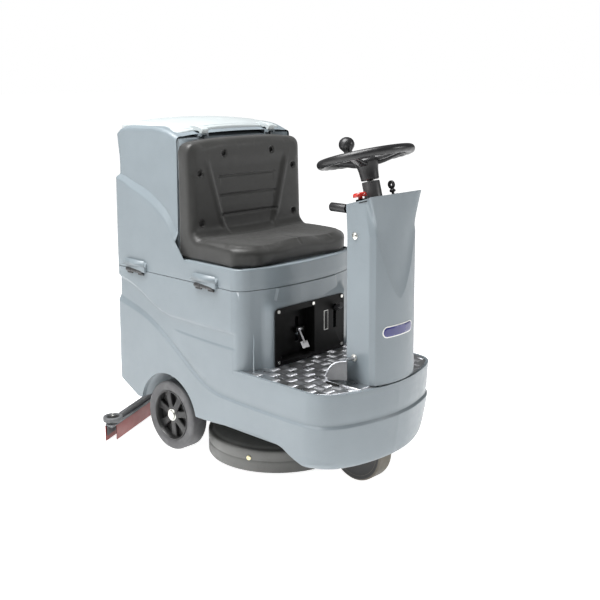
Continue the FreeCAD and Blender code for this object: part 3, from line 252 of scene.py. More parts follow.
# slot: colour, roughness, metallic, mottling, grain scale per metre, grain height in mm, options
FINISHES = {
    "body_grey": ((0.180, 0.212, 0.232), 0.38, 0, 0.05, 900, 0.05, {"coat": 0.15}),
    "lid_white": ((0.40, 0.435, 0.44), 0.36, 0, 0.03, 700, 0.04, {}),
    "seat_skin": ((0.0145, 0.0145, 0.0132), 0.46, 0, 0.12, 1100, 0.14,
                  {"shine": 0.4, "sheen": 0.2}),
    "frame_black": ((0.018, 0.018, 0.019), 0.42, 0, 0.15, 1500, 0.05, {"wear": 0.25}),
    "zinc_steel": ((0.62, 0.62, 0.59), 0.30, 1, 0.10, 500, 0.03, {}),
    "tread_plate": ((0.66, 0.67, 0.69), 0.30, 1, 0.12, 1400, 0.05, {}),
    "tyre_grey": ((0.078, 0.078, 0.081), 0.58, 0, 0.14, 700, 0.10, {"dust": 0.3}),
    "tyre_tan": ((0.10, 0.088, 0.066), 0.50, 0, 0.14, 600, 0.08, {"dust": 0.2}),
    "rim_black": ((0.014, 0.014, 0.014), 0.40, 0, 0.15, 900, 0.05, {"wear": 0.15}),
    "panel_black": ((0.006, 0.006, 0.006), 0.42, 0, 0.15, 1300, 0.05, {"shine": 0.1, "wear": 0.05}),
    "grip_black": ((0.012, 0.012, 0.013), 0.36, 0, 0.12, 1200, 0.05, {"wear": 0.1}),
    "deck_black": ((0.088, 0.089, 0.084), 0.44, 0, 0.18, 700, 0.10, {"wear": 0.15}),
    "skirt_bolt": ((0.66, 0.60, 0.38), 0.32, 1, 0.10, 500, 0.03, {}),
    "bristle": ((0.03, 0.035, 0.055), 0.55, 0, 0.20, 900, 0.05, {}),
    "blade_red": ((0.23, 0.028, 0.020), 0.36, 0, 0.15, 500, 0.05, {"clear": 0.25}),
    "roller_grey": ((0.11, 0.113, 0.117), 0.55, 0, 0.12, 700, 0.08, {"dust": 0.2}),
    "stop_red": ((0.62, 0.035, 0.022), 0.22, 0, 0.05, 700, 0.02, {"coat": 0.4}),
    "label_white": ((0.74, 0.74, 0.71), 0.45, 0, 0.04, 900, 0.02, {}),
    "badge_blue": ((0.012, 0.012, 0.13), 0.22, 0, 0.06, 900, 0.01, {"coat": 0.5}),
    "battery_case": ((0.022, 0.022, 0.024), 0.50, 0, 0.12, 900, 0.08, {}),
    "motor_paint": ((0.03, 0.03, 0.032), 0.38, 0, 0.12, 700, 0.06, {"wear": 0.2}),
    "gear_steel": ((0.36, 0.36, 0.37), 0.32, 1, 0.12, 400, 0.04, {}),
    "gauge_glass": ((0.016, 0.02, 0.02), 0.08, 0, 0.05, 300, 0.01, {"coat": 1.0}),
}


def material(slot):
    name = "finish_" + slot
    return bpy.data.materials.get(name) or make_material(name, *FINISHES[slot])


def make_material(name, colour, rough, metal, mottle, scale, height, options):
    made = bpy.data.materials.new(name)
    made.use_nodes = True
    nodes, links = made.node_tree.nodes, made.node_tree.links
    shader = nodes["Principled BSDF"]
    shader.inputs["Metallic"].default_value = metal
    shader.inputs["Specular IOR Level"].default_value = options.get("shine", 0.5)
    shader.inputs["Sheen Weight"].default_value = options.get("sheen", 0.0)
    shader.inputs["Coat Weight"].default_value = options.get("coat", 0.0)
    shader.inputs["Coat Roughness"].default_value = 0.12
    shader.inputs["Transmission Weight"].default_value = options.get("clear", 0.0)
    place = nodes.new("ShaderNodeTexCoord").outputs["Object"]

    def noise(size, detail):
        node = nodes.new("ShaderNodeTexNoise")
        node.inputs["Scale"].default_value = size
        node.inputs["Detail"].default_value = detail
        links.new(place, node.inputs["Vector"])
        return node.outputs["Fac"]

    def ranged(value, low, high, new_low, new_high):
        node = nodes.new("ShaderNodeMapRange")
        for key, number in zip(("From Min", "From Max", "To Min", "To Max"),
                               (low, high, new_low, new_high)):
            node.inputs[key].default_value = number
        links.new(value, node.inputs["Value"])
        return node.outputs["Result"]

    def blended(factor, first, second):
        node = nodes.new("ShaderNodeMix")
        node.data_type = "RGBA"
        links.new(factor, node.inputs["Factor"])
        for socket, value in ((node.inputs["A"], first), (node.inputs["B"], second)):
            if isinstance(value, tuple):
                socket.default_value = (*value, 1)
            else:
                links.new(value, socket)
        return node.outputs["Result"]

    cloudy = noise(9, 4)
    speckle = noise(scale * 0.35, 3)
    dark = tuple(c * (1 - mottle) for c in colour)
    light = tuple(min(1.0, c * (1 + mottle)) for c in colour)
    shade = blended(ranged(cloudy, 0.3, 0.7, 0, 1), dark, light)
    flecks = ranged(speckle, 0.35, 0.65, 0, 0.5)
    shade = blended(flecks, shade, light)
    edge = nodes.new("ShaderNodeNewGeometry").outputs["Pointiness"]
    if options.get("wear"):
        rubbed = ranged(edge, 0.53, 0.62, 0, options["wear"])
        shade = blended(rubbed, shade, tuple(mix(c, 0.30, 0.7) for c in colour))
    if options.get("dust"):
        dusty = ranged(noise(30, 5), 0.45, 0.75, 0, options["dust"])
        shade = blended(dusty, shade, tuple(mix(c, 0.34, 0.5) for c in colour))
    links.new(shade, shader.inputs["Base Color"])
    gloss = ranged(noise(45, 4), 0.3, 0.7, rough * 0.86, rough * 1.16)
    links.new(gloss, shader.inputs["Roughness"])
    bump = nodes.new("ShaderNodeBump")
    bump.inputs["Strength"].default_value = 0.6
    bump.inputs["Distance"].default_value = height * MM
    links.new(noise(scale, 3), bump.inputs["Height"])
    links.new(bump.outputs["Normal"], shader.inputs["Normal"])
    return made


# ---- camera, floor and light ----------------------------------------------------------

CAMERA_AT = (2.308, -2.217, 1.283)
CAMERA_AZIMUTH = 42.23
CAMERA_ELEVATION = 7.66
CAMERA_ROLL = 0.13


def make_camera():
    data = bpy.data.cameras.new("camera")
    data.lens = 57.78
    data.sensor_width = 36
    data.shift_x = -0.0529
    data.shift_y = -0.1699
    camera = linked("camera", data)
    a, e = math.radians(CAMERA_AZIMUTH), math.radians(CAMERA_ELEVATION)
    back = Vector((math.sin(a) * math.cos(e), -math.cos(a) * math.cos(e), math.sin(e)))
    turn = (-back).to_track_quat("-Z", "Y").to_matrix().to_4x4()
    roll = Matrix.Rotation(math.radians(CAMERA_ROLL), 4, back)
    camera.matrix_world = Matrix.Translation(CAMERA_AT) @ roll @ turn
    bpy.context.scene.camera = camera


def make_floor():
    mesh = bpy.data.meshes.new("floor")
    size = 40
    mesh.from_pydata([(-size, -size, 0), (size, -size, 0), (size, size, 0), (-size, size, 0)],
                     [], [(0, 1, 2, 3)])
    floor = linked("floor", mesh)
    white = bpy.data.materials.new("floor_white")
    white.use_nodes = True
    shader = white.node_tree.nodes["Principled BSDF"]
    shader.inputs["Base Color"].default_value = (0.8, 0.8, 0.8, 1)
    shader.inputs["Roughness"].default_value = 0.8
    shader.inputs["Emission Color"].default_value = (1, 1, 1, 1)
    shader.inputs["Emission Strength"].default_value = 0.94
    mesh.materials.append(white)


def area_light(name, at, target, size, power):
    data = bpy.data.lights.new(name, "AREA")
    data.shape = "RECTANGLE"
    data.size, data.size_y = size
    data.energy = power
    light = linked(name, data)
    aim = Vector(target) - Vector(at)
    light.matrix_world = Matrix.Translation(at) @ aim.to_track_quat("-Z", "Y").to_matrix().to_4x4()


def make_light():
    world = bpy.data.worlds.new("studio")
    world.use_nodes = True
    nodes, links = world.node_tree.nodes, world.node_tree.links
    sky = nodes["Background"]
    sky.inputs["Color"].default_value = (1.0, 1.0, 1.0, 1)
    sky.inputs["Strength"].default_value = 0.15
    backdrop = nodes.new("ShaderNodeBackground")
    backdrop.inputs["Color"].default_value = (1.0, 1.0, 1.0, 1)
    rays = nodes.new("ShaderNodeLightPath")
    chosen = nodes.new("ShaderNodeMixShader")
    links.new(rays.outputs["Is Camera Ray"], chosen.inputs[0])
    links.new(sky.outputs["Background"], chosen.inputs[1])
    links.new(backdrop.outputs["Background"], chosen.inputs[2])
    links.new(chosen.outputs["Shader"], nodes["World Output"].inputs["Surface"])
    bpy.context.scene.world = world
    area_light("key", (-0.8, -4.0, 2.2), (0, 0, 0.6), (2.2, 2.0), 34)
    area_light("top", (-0.3, -1.0, 3.4), (-0.1, 0, 0.7), (2.2, 2.2), 215)
    area_light("front", (3.0, 1.8, 2.0), (0.5, 0, 0.5), (0.6, 0.6), 26)


make_camera()
make_floor()
make_light()
bpy.context.scene.view_settings.view_transform = "Standard"


# ---- body skins -----------------------------------------------------------------------

REAR_X = -487.0
HALF = 270.0
CORNER_R = 30.0
SEAM_Z = 599.0
RIM_Z = 347.0
AXLE_X = -203.5
AXLE_Z = 117.0
ARCH_R = 147.5
BELT_Z = 245             # the line round the apron, with APRON_BELT as its outline
HEM_Z = 108              # level of APRON_HEM
SPLIT_X = 118.0          # where the apron and the tank's bowed front part company
CHAMFER_X = -369.5       # behind it the skirt rises to the rear
REAR_HEM_Z = 207
SIDE_HEM_Z = 150
SHELF = 6.4              # how far the wall steps in above the lower swoosh
SWOOSH_END_X = -105.5
TANK_DECK_Z = 667        # top of the tank's front part, under the seat

TANK_FRONT = [(118, -270), (137, -265), (153, -253), (163, -236), (170, -214), (182, -176),
              (191, -130), (198, -65), (200, 0)]
APRON_RIM = [(118, -270), (300, -270), (408, -270), (452, -268.5), (490, -255), (519, -225),
             (540, -183), (559, -125), (572, -66), (577.3, 0)]
APRON_BELT = [(118, -270), (300, -270), (404, -269.8), (447, -266.5), (486, -251.5), (515, -222),
              (537, -182), (556, -124), (569, -65), (574, 0)]
APRON_HEM = [(118, -263), (300, -257), (386, -251), (420, -243), (450, -229), (476, -208),
             (496, -182), (519, -128), (534, -64), (540, 0)]

LOW_SWOOSH = [(-487, 480), (-430, 468), (-371, 455), (-321, 440), (-259, 413), (-191, 373),
              (-126, 330), (-62, 289), (-11, 264), (38, 250), (100, BELT_Z), (700, BELT_Z)]
CREASE = [(-487, 562), (-452, 556), (-390, 541), (-340, 521), (-284, 493), (-236, 474),
          (-190, 465), (-148, 463), (700, 463)]
BAND = [(-487, 528), (-390, 505), (-284, 462), (-236, 440), (-190, 425), (-156, 420), (700, 420)]
HIGH_SWOOSH = [(-487, 911), (-430, 897), (-386, 879), (-330, 860), (-277, 837), (-235, 812),
               (-198, 785), (-175, 758), (-159.5, 735), (SWOOSH_END_X, TANK_DECK_Z)]
TOP_EDGE = [(-484, 1066), (-440, 1083), (-410, 1089), (-330, 1091), (-260, 1092), (-200, 1082),
            (-150, 1064)]


def wall_bottom(x):
    """Height of the skirt's lower edge at station x, wheel arch included."""
    if abs(x - AXLE_X) < ARCH_R * 0.975:
        return AXLE_Z + math.sqrt(ARCH_R**2 - (x - AXLE_X) ** 2)
    if x < CHAMFER_X:
        return mix(REAR_HEM_Z, SIDE_HEM_Z, (max(x, REAR_X) - REAR_X) / (CHAMFER_X - REAR_X))
    return curve([(CHAMFER_X, SIDE_HEM_Z), (-40, 151), (331, 153), (366, 136), (410, 118),
                  (430, 112), (700, 112)], x)


def shelf_depth(x):
    """Depth of the wall between the lower swoosh and the crease, less towards the front."""
    return mix(SHELF, 3.8, ease((x + 190) / 60))


def lower_rows(x):
    """(height, side depth, rear depth) of the wall from its hem to the split line."""
    bottom, line = wall_bottom(x), curve(LOW_SWOOSH, x)
    slope = curve([(-487, 19), (-300, 14), (-100, 9), (0, 7), (700, 7)], x)
    rows = [(bottom, 15, 15), (bottom, 0, 0)]
    rows += [(mix(bottom, line, t), 0, 0) for t in steps(14, 0.03, 0.97)]
    for t, d in ((-0.08, 0), (0, 0.3), (0.12, 1.0), (0.85, 5.2), (1, 6.1), (1.12, SHELF)):
        rows.append((line + slope * t, d, d / SHELF * 15))
    level, middle, shelf = line + slope + 2, curve(BAND, x), shelf_depth(x)
    rows += [(mix(level, middle, t), mix(SHELF, shelf, ease(t * 6)), mix(15, 20, t))
             for t in steps(7, 0.06, 0.513)]
    return rows


def upper_rows(x):
    """The same above the split line, up to the seam under the recovery tank."""
    line, slope = curve(LOW_SWOOSH, x), curve([(-487, 19), (-300, 14), (-100, 9), (0, 7)], x)
    level, middle, shelf = line + slope + 2, curve(BAND, x), shelf_depth(x)
    crease = curve(CREASE, x)
    rows = [(mix(level, middle, t), shelf, mix(15, 20, t)) for t in steps(6, 0.513, 0.96)]
    rows += [(middle, mix(shelf, SHELF, 0.05), 21), (middle + 1.5, mix(shelf, SHELF, 0.2), 21),
             (middle + 5, 6.3, 22)]
    rows += [(mix(middle + 7, crease - 2, t), SHELF, mix(22, 26, t)) for t in steps(4)]
    rows += [(crease, 6.2, 26), (crease + 2, 5.2, 22), (crease + 8, 1.6, 4),
             (crease + 10, 1.0, 0.5)]
    rows += [(mix(crease + 12, SEAM_Z - 3, t), 1.0, 0.5) for t in steps(8)]
    return rows + [(SEAM_Z, 1.0, 0.5), (SEAM_Z, 15, 15)]


def plan_columns(side_stations, rows_at, rear_edge):
    """Rear, corner and side columns of a right-hand wall; the depths push the skin inwards."""
    columns = []
    for y in steps(16, 0, -(HALF - CORNER_R)):
        columns.append([(rear_edge(z) + rear, y, z) for z, _, rear in rows_at(REAR_X)])
    for degrees in (15, 30, 45, 60, 75, 90):
        a = math.radians(degrees)
        x = REAR_X + CORNER_R * (1 - math.cos(a))
        column = []
        for z, side, rear in rows_at(x):
            r = CORNER_R - mix(rear, side, ease(degrees / 90))
            lean = rear_edge(z) - REAR_X
            column.append((REAR_X + CORNER_R + lean * (1 - degrees / 90) - r * math.cos(a),
                           -(HALF - CORNER_R) - r * math.sin(a), z))
        columns.append(column)
    for x in side_stations:
        columns.append([(x, -HALF + side, z) for z, side, _ in rows_at(x)])
    return columns


def outline_normals(points):
    """Inward plan normals along an outline that runs forward on the right side."""
    out = []
    for i in range(len(points)):
        ahead, behind = points[min(i + 1, len(points) - 1)], points[max(i - 1, 0)]
        t = (ahead - behind).normalized()
        out.append(Vector((-t.y, t.x)))
    out[-1] = Vector((-1, 0))
    return out


def apron_columns(count=92):
    rim, belt, hem = (spline(p, count) for p in (APRON_RIM, APRON_BELT, APRON_HEM))
    inward = outline_normals(rim)
    columns = []
    for i in range(count):
        column = []
        for z, side, _ in lower_rows(belt[i].x):
            if z >= BELT_Z:
                at = belt[i].lerp(rim[i], min(1, (z - BELT_Z) / (RIM_Z - BELT_Z)))
            else:
                at = hem[i].lerp(belt[i], min(1, max(0, z - HEM_Z) / (BELT_Z - HEM_Z)) ** 0.45)
            at = at + inward[i] * (side if side < 10 else 4)
            column.append((at.x, at.y, z))
        columns.append(column)
    return columns, [p + n * 3.8 for p, n in zip(rim, inward)], inward


def front_columns(rows_at, flat=None, count=44):
    """Columns round the tank's bowed front, from the split line to the middle."""
    outline = spline(TANK_FRONT, count)
    inward = outline_normals(outline)
    columns = []
    for i, (at, normal) in enumerate(zip(outline, inward)):
        fade = 1 - ease((i + 1) / 8)
        column = []
        for z, side, _ in rows_at(SPLIT_X):
            depth = side if side > 10 else mix(min(side, 1.0), side, fade)
            p = at + normal * depth
            if flat:
                p.x = mix(p.x, 200.6, flat(p.y, z)) if side < 10 else p.x
            column.append((p.x, p.y, z))
        columns.append(column)
    return columns


def panel_flat(y, z):
    """Share of the flat boss behind the control panel, 1 over it and 0 away from it."""
    return (1 - ease((abs(y) - 166) / 26)) * (1 - ease((z - 543) / 16))


def side_stations():
    arch = [AXLE_X - ARCH_R * math.cos(a) for a in steps(46, 0.2233, math.pi - 0.2233)]
    rear = steps(20, -457, arch[0])[1:-1]
    front = steps(32, arch[-1], SPLIT_X)[1:]
    return rear + arch + front


def both_halves(part):
    return join(part, mirrored(part))


def make_lower_body():
    stations = side_stations()

    def plain(z):
        return REAR_X

    low = plan_columns(stations, lower_rows, plain)
    apron, rim, inward = apron_columns()
    high = plan_columns(stations, upper_rows, plain) + front_columns(upper_rows, panel_flat)
    lip = [[(*p, RIM_Z), (*(p + n * 9), RIM_Z), (*(p + n * 9), RIM_Z - 8)]
           for p, n in zip(rim, inward)]
    chamfer = []
    for t in steps(12):
        x = mix(REAR_X, CHAMFER_X, t)
        into_corner = max(0, REAR_X + CORNER_R - x)
        reach = HALF - CORNER_R + math.sqrt(max(0, CORNER_R**2 - into_corner**2))
        height = mix(REAR_HEM_Z, SIDE_HEM_Z, t)
        chamfer.append([(x, -y, height) for y in steps(10, 0, reach - 0.5)])
    edge = [[(*(p + n * 0.5), z) for z in (RIM_Z - 16, RIM_Z - 0.5)] for p, n in zip(rim, inward)]
    skin = join(grid(low + apron[1:]), grid(high), grid(lip), grid(edge), grid(chamfer))
    shell = piece("body_shell", both_halves(skin), "chassis", "body_grey", ["lower_body"],
                  smooth=50)
    cut_openings(shell)
    soften(shell, 2.4, 3, 55)


def cut_openings(shell):
    """Opens the skin where the panel's pocket and the squeegee's arms pass through it."""
    bm = bmesh.new()
    bm.from_mesh(shell.data)
    hidden = []
    for face in bm.faces:
        x, y, z = face.calc_center_median() / MM
        behind_panel = x > 190 and abs(y) < 152 and 354 < z < 526
        over_squeegee_arms = -450 < x < -365 and abs(y) < 72 and 149 < z < 208
        if behind_panel or over_squeegee_arms:
            hidden.append(face)
    bmesh.ops.delete(bm, geom=hidden, context="FACES")
    bm.to_mesh(shell.data)
    bm.free()


def cad_core(name, node, body, slot, settle):
    """A copy of a CAD node, drawn in behind the skin that covers its outside."""
    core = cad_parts[node].data.copy()
    obj = linked(name, core)
    bm = bmesh.new()
    bm.from_mesh(core)
    bmesh.ops.remove_doubles(bm, verts=bm.verts, dist=MERGE)
    bm.normal_update()
    for v in bm.verts:
        x, y, z = v.co / MM
        v.co = Vector(settle(x, y, z, v.normal)) * MM
    bmesh.ops.dissolve_degenerate(bm, dist=1e-5, edges=bm.edges)
    bm.to_mesh(core)
    bm.free()
    core.normals_split_custom_set([(0, 0, 0)] * len(core.loops))
    dress(obj, slot, 30)
    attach(obj, body)
    return obj


def drawn_in_corner(x, y, reach):
    """Keeps a point inside the tanks' rounded rear corners."""
    cx, cy = REAR_X + CORNER_R, HALF - CORNER_R
    if x < cx and abs(y) > cy:
        away = Vector((cx - x, abs(y) - cy))
        if away.length > reach:
            away *= reach / away.length
            return cx - away.x, math.copysign(cy + away.y, y)
    return x, y


def settle_lower(x, y, z, normal):
    """Draws the lower tank's core in: apron walls first, then sides, rear, front, top and hem."""
    if x > 118 and normal.x * (x - 150) + normal.y * y > 0.2 * (abs(x - 150) + abs(y)) and z < 348:
        flat = Vector((normal.x, normal.y))
        if flat.length > 0.3:
            flat.normalize()
            x, y = x - 6.5 * flat.x, y - 6.5 * flat.y
    y = max(-262.6, min(262.6, y))
    if z < 475:
        x = max(x, REAR_X + 4)
        x, y = drawn_in_corner(x, y, 24)
    else:
        x = max(x, -457.5)
    if x > 150 and z > 348 and x < 202 and abs(y) > 151:
        x -= 5
    if z > 597:
        z = SEAM_Z - 1.0
    elif 345 < z < 348:
        z = 343.0
    elif z < 156:
        z += 1.2
    return x, y, z


# ---- recovery tank --------------------------------------------------------------------

def shoulder(z):
    """Rear silhouette of the recovery tank."""
    return curve([(600, REAR_X), (908, REAR_X), (913, -478), (920, -458), (926, -454.5),
                  (1056, -481), (1100, -486)], z)


def crown(x, y):
    """Height of the tank's roof, arched both ways."""
    return curve(TOP_EDGE, x) + 9 * (1 - (y / 258) ** 2)


def tank_rows(x):
    line = curve(HIGH_SWOOSH, x) if x < SWOOSH_END_X else TANK_DECK_Z
    rows = [(601, 15, 15), (601, 1.0, 0.5)]
    rows += [(mix(602, line, t), mix(1, 0, ease(t * 4)), 0) for t in steps(16, 0.02, 0.99)]
    return rows + [(line, 0.3, 0.2)]


def slope_rows(x):
    """Above the swoosh: a wide bevel, then the inset wall up to the roof's edge."""
    line = curve(HIGH_SWOOSH, min(x, -152))
    wide = curve([(-487, 15), (-400, 22), (-250, 27), (-150, 24)], x)
    top = curve(TOP_EDGE, x) - 14
    rows = [(line, 0.3, 0.2)]
    rows += [(line + wide * t, 12 * t, 0) for t in (0.04, 0.3, 0.55, 0.8, 0.96, 1)]
    rows += [(line + wide + 1.5, 12.4, 0)]
    rows += [(mix(line + wide + 4, top, t), 12.2, 0) for t in steps(18)]
    for degrees in (15, 30, 45, 60, 75, 90):
        a = math.radians(degrees)
        rows.append((top + 14 * math.sin(a), 12.2 + 14 * (1 - math.cos(a)), 14 * (1 - math.cos(a))))
    return rows


def make_recovery_tank():
    def wall(z):
        return shoulder(z) if z > 905 else REAR_X

    stations = steps(26, -457, -340) + steps(42, -335, -151) + [-147.8]
    front = steps(12, -146, SWOOSH_END_X) + steps(44, -100, SPLIT_X)
    low = plan_columns(stations + front, tank_rows, wall) + front_columns(tank_rows)
    for column in low:
        x, y, z = column[-1]
        if x > -104:
            inward = Vector((-1 if x > 190 else 0, 1, 0)) if y < -1 else Vector((-1, 0, 0))
            column.append((x - 3 * (x > 150), min(0, y + 3), z + 1.2))
            column.append((x - 14 * (x > 150), min(0, y + 14), z + 1.2))
        else:
            column += [column[-1], column[-1]]
    high = plan_columns(stations, slope_rows, wall)
    roof = []
    for column in high:
        x, y, z = column[-1]
        row = []
        for t in steps(14):
            yy = mix(y, 0, t)
            row.append((x, yy, mix(z, crown(x, yy), ease(t * 5)) if y < 0 else z))
        roof.append(row)
    skin = join(grid(low), grid(high), grid(roof))
    shell = piece("tank_shell", both_halves(skin), "recovery_unit", "body_grey",
                  ["recovery_tank"], smooth=50)
    soften(shell, 2.2, 3, 55)


def settle_tank(x, y, z, normal):
    """Draws the recovery tank's core in, and leaves its hinge lugs beyond the sides alone."""
    if abs(y) > 272:
        return x, y, z
    y = max(-251.5, min(251.5, y))
    if z < 905:
        x = max(x, REAR_X + 5)
        x, y = drawn_in_corner(x, y, 22)
    elif x < -441:
        x = max(x, -449)
    if x > 118 and z < TANK_DECK_Z + 1:
        x -= 5
        y *= 0.975
    if z > 1050:
        z -= 9
    elif abs(z - TANK_DECK_Z) < 1:
        z -= 1.5
    elif z < 602:
        z += 1
    return x, y, z


def make_brows():
    """Raised covers over the tilt hinges, deep at their front end and flush at the rear."""
    for index, middle in enumerate((-365, -2)):
        columns = []
        for reach, deep in ((-60, 1.5), (-50, 4), (-20, 8), (20, 11), (50, 13), (57, 13), (60, 11),
                            (61, 0)):
            x, lean = middle + reach, 4 * (reach + 60) / 120
            low = 597 if deep > 5 else 604
            columns.append([(x, -271, low + 9), (x, -266 - deep, low - 0.8),
                            (x, -268 - deep, low + 0.6), (x, -268 - deep, 618 - lean),
                            (x, -268 - deep * 0.85, 621 - lean),
                            (x, -269.5 - deep * 0.06, 635 - lean * 1.5),
                            (x, -264, 637 - lean * 1.5)])
        brow = piece(f"hinge_brow_{index}", grid(columns), "recovery_unit", "body_grey", smooth=50)
        soften(brow, 1.2, 2, 30)


# ---- lid ------------------------------------------------------------------------------

def rounded_outline(x0, x1, y0, y1, radius, per_corner, per_side):
    points = []
    corners = [(x1 - radius, y1 - radius, 0), (x0 + radius, y1 - radius, 90),
               (x0 + radius, y0 + radius, 180), (x1 - radius, y0 + radius, 270)]
    for i, (cx, cy, start) in enumerate(corners):
        for k in range(per_corner + 1):
            a = math.radians(start + 90 * k / per_corner)
            points.append(Vector((cx + radius * math.cos(a), cy + radius * math.sin(a))))
        nx, ny, after = corners[(i + 1) % 4]
        a = math.radians(after)
        goal = Vector((nx + radius * math.cos(a), ny + radius * math.sin(a)))
        here = points[-1]
        points += [here.lerp(goal, k / per_side) for k in range(1, per_side)]
    return points


def lid_height(x, y):
    edge = curve([(-484, 1087), (-440, 1094), (-330, 1097), (-240, 1089), (-172, 1077)], x)
    return min(1111.6, edge + 15 * (1 - (y / 240) ** 2))


def make_lid():
    x0, x1, half = -481, -170, 242
    outline = rounded_outline(x0, x1, -half, half, 30, 8, 18)
    centre = Vector(((x0 + x1) / 2, 0))
    columns = []
    for p in outline:
        column = []
        for share, drop in ((0.965, 15), (0.995, 15), (1.0, 14), (1.0, 6), (0.997, 3.5),
                            (0.988, 1.4), (0.975, 0.3), (0.93, 0), (0.925, 0.8), (0.915, 0.8),
                            (0.905, -1.2), (0.88, -1.4), (0.75, -1.4), (0.6, -1.4), (0.45, -1.4),
                            (0.3, -1.4), (0.15, -1.4), (0.0, -1.4)):
            q = centre + (p - centre) * share
            column.append((q.x, q.y, min(1111.8, lid_height(q.x, q.y) - drop)))
        columns.append(column)
    dome = grid(columns, closed=True)
    floor = lid_height(centre.x, 0) - 14
    under = [[(mix(x, centre.x, t), mix(y, 0, t), mix(z, floor, ease(t)))
              for t in (0, 0.02, 0.05, 0.2, 0.5, 0.8, 1.0)] for (x, y, z), *_ in columns]
    piece("lid_dome", join(dome, grid(under, closed=True)), "lid", "lid_white", ["tank_lid"])
    outline = [(-210, 1083), (-196, 1093), (-176, 1096), (-160, 1095), (-147, 1093.5),
               (-135, 1090), (-127.5, 1085), (-127.5, 1077), (-130, 1071), (-136, 1068.6),
               (-142, 1071), (-144, 1076), (-150, 1078), (-176, 1078), (-200, 1078)]
    upright = Matrix(((1, 0, 0, 0), (0, 0, 1, 0), (0, 1, 0, 0), (0, 0, 0, 1)))
    tabs = [placed(prism(outline, low, low + 28), upright) for low in (-166, 138)]
    soften(piece("lid_tabs", join(*tabs), "lid", "lid_white"), 2.2, 3, 40)


# ---- seat -----------------------------------------------------------------------------

SEAT_BOLTS = [(108, 1005), (212, 945), (211, 781)]      # (distance from the middle, height)
SEAT_REAR = -146.5
SEAT_BASE = 669
# (distance from the middle, rounding) of the outermost sections
SEAT_EDGE = [(261.5, 13), (260.8, 9.5), (258.8, 6), (255.5, 3.2), (250, 1.2), (243, 0.3)]


def seat_top(y):
    return curve([(0, 1062), (90, 1061), (163, 1058), (215, 1052), (240, 1047), (254, 1039),
                  (262, 1027)], abs(y))


def seat_front(y):
    return curve([(0, 172), (110, 171), (205, 166), (236, 147), (258, 127)], abs(y))


def cushion_top(x, y):
    """Height of the sitting surface: bolsters at the sides, scoops either side of a low pommel."""
    scoop = 9 * math.exp(-(((abs(y) - 120) / 70) ** 2)) * ease((x + 40) / 160)
    dish = 6 * math.exp(-((y / 150) ** 2)) * (1 - ease((x - 20) / 120))
    return 733 - scoop - dish


def seat_section(y, i):
    """Closed side outline of the seat at one station across it; i rounds its outer edges in."""
    top, nose = seat_top(y) - i, seat_front(y) - i
    rear, front = SEAT_REAR, -92 - i
    points = [(rear, z) for z in steps(30, SEAT_BASE, top - 10)]
    points += [(rear + 10 - 10 * math.cos(a), top - 10 + 10 * math.sin(a))
               for a in steps(5, 0.3, 1.57)]
    points += [(front - 16 + 16 * math.sin(a), top - 16 + 16 * math.cos(a))
               for a in steps(6, 0.0, 1.57)]
    sit = cushion_top(-40, y) - i
    bend = 40
    points += [(mix(front, front + 5, t), mix(top - 18, sit + bend, t)) for t in steps(24)]
    points += [(front + 5 + bend * (1 - math.cos(a)), sit + bend * (1 - math.sin(a)))
               for a in steps(8, 0.15, 1.5)]
    points += [(x, cushion_top(x, y) - i) for x in steps(22, front + 48, nose - 28)]
    level = cushion_top(nose - 26, y) - i
    points += [(nose - 24 + 24 * math.sin(a), level - 24 + 24 * math.cos(a))
               for a in steps(7, 0.15, 1.5)]
    points += [(nose - 1, level - 30), (nose - 1, 681), (nose - 4, 673), (nose - 9, SEAT_BASE)]
    points += [(x, SEAT_BASE) for x in steps(30, nose - 16, rear + 5)]
    return points


def seat_form():
    stations = [(-y, i) for y, i in SEAT_EDGE] + [(y, 0) for y in steps(60, -234, 234)]
    stations += [(y, i) for y, i in reversed(SEAT_EDGE)]
    columns = [[(x, y, z) for x, z in seat_section(y, i)] for y, i in stations]
    rows = len(columns[0])
    vertices = [Vector(p) for c in columns for p in c]
    faces = []
    for c in range(len(columns) - 1):
        for r in range(rows):
            n = (r + 1) % rows
            faces.append((c * rows + r, (c + 1) * rows + r, (c + 1) * rows + n, c * rows + n))
    faces.append(tuple(range(rows)))
    faces.append(tuple(reversed(range((len(columns) - 1) * rows, len(columns) * rows))))
    return vertices, faces


def only(obj):
    bpy.ops.object.select_all(action="DESELECT")
    obj.select_set(True)
    bpy.context.view_layer.objects.active = obj


def inflate(obj, pressure=4.0, cap=6.0, frames=20):
    """Skin under tension: cloth with inner pressure; no point moves further than cap."""
    rest = [v.co.copy() for v in obj.data.vertices]
    only(obj)
    cloth = obj.modifiers.new("cloth", "CLOTH")
    cloth.settings.use_pressure = True
    cloth.settings.uniform_pressure_force = pressure
    cloth.settings.effector_weights.gravity = 0
    cloth.point_cache.frame_start = 1
    cloth.point_cache.frame_end = frames
    for f in range(1, frames + 1):
        bpy.context.scene.frame_set(f)
    moved = obj.evaluated_get(bpy.context.evaluated_depsgraph_get()).to_mesh()
    ends = [v.co.copy() for v in moved.vertices]
    obj.modifiers.remove(cloth)
    for v, start, end in zip(obj.data.vertices, rest, ends):
        step = end - start
        if step.length > cap * MM:
            step *= cap * MM / step.length
        v.co = start + step
    bpy.context.scene.frame_set(1)


def recess(value, width, soft):
    """1 inside a band of half-width width, falling to 0 over soft beyond it."""
    return 1 - ease((abs(value) - width) / soft)


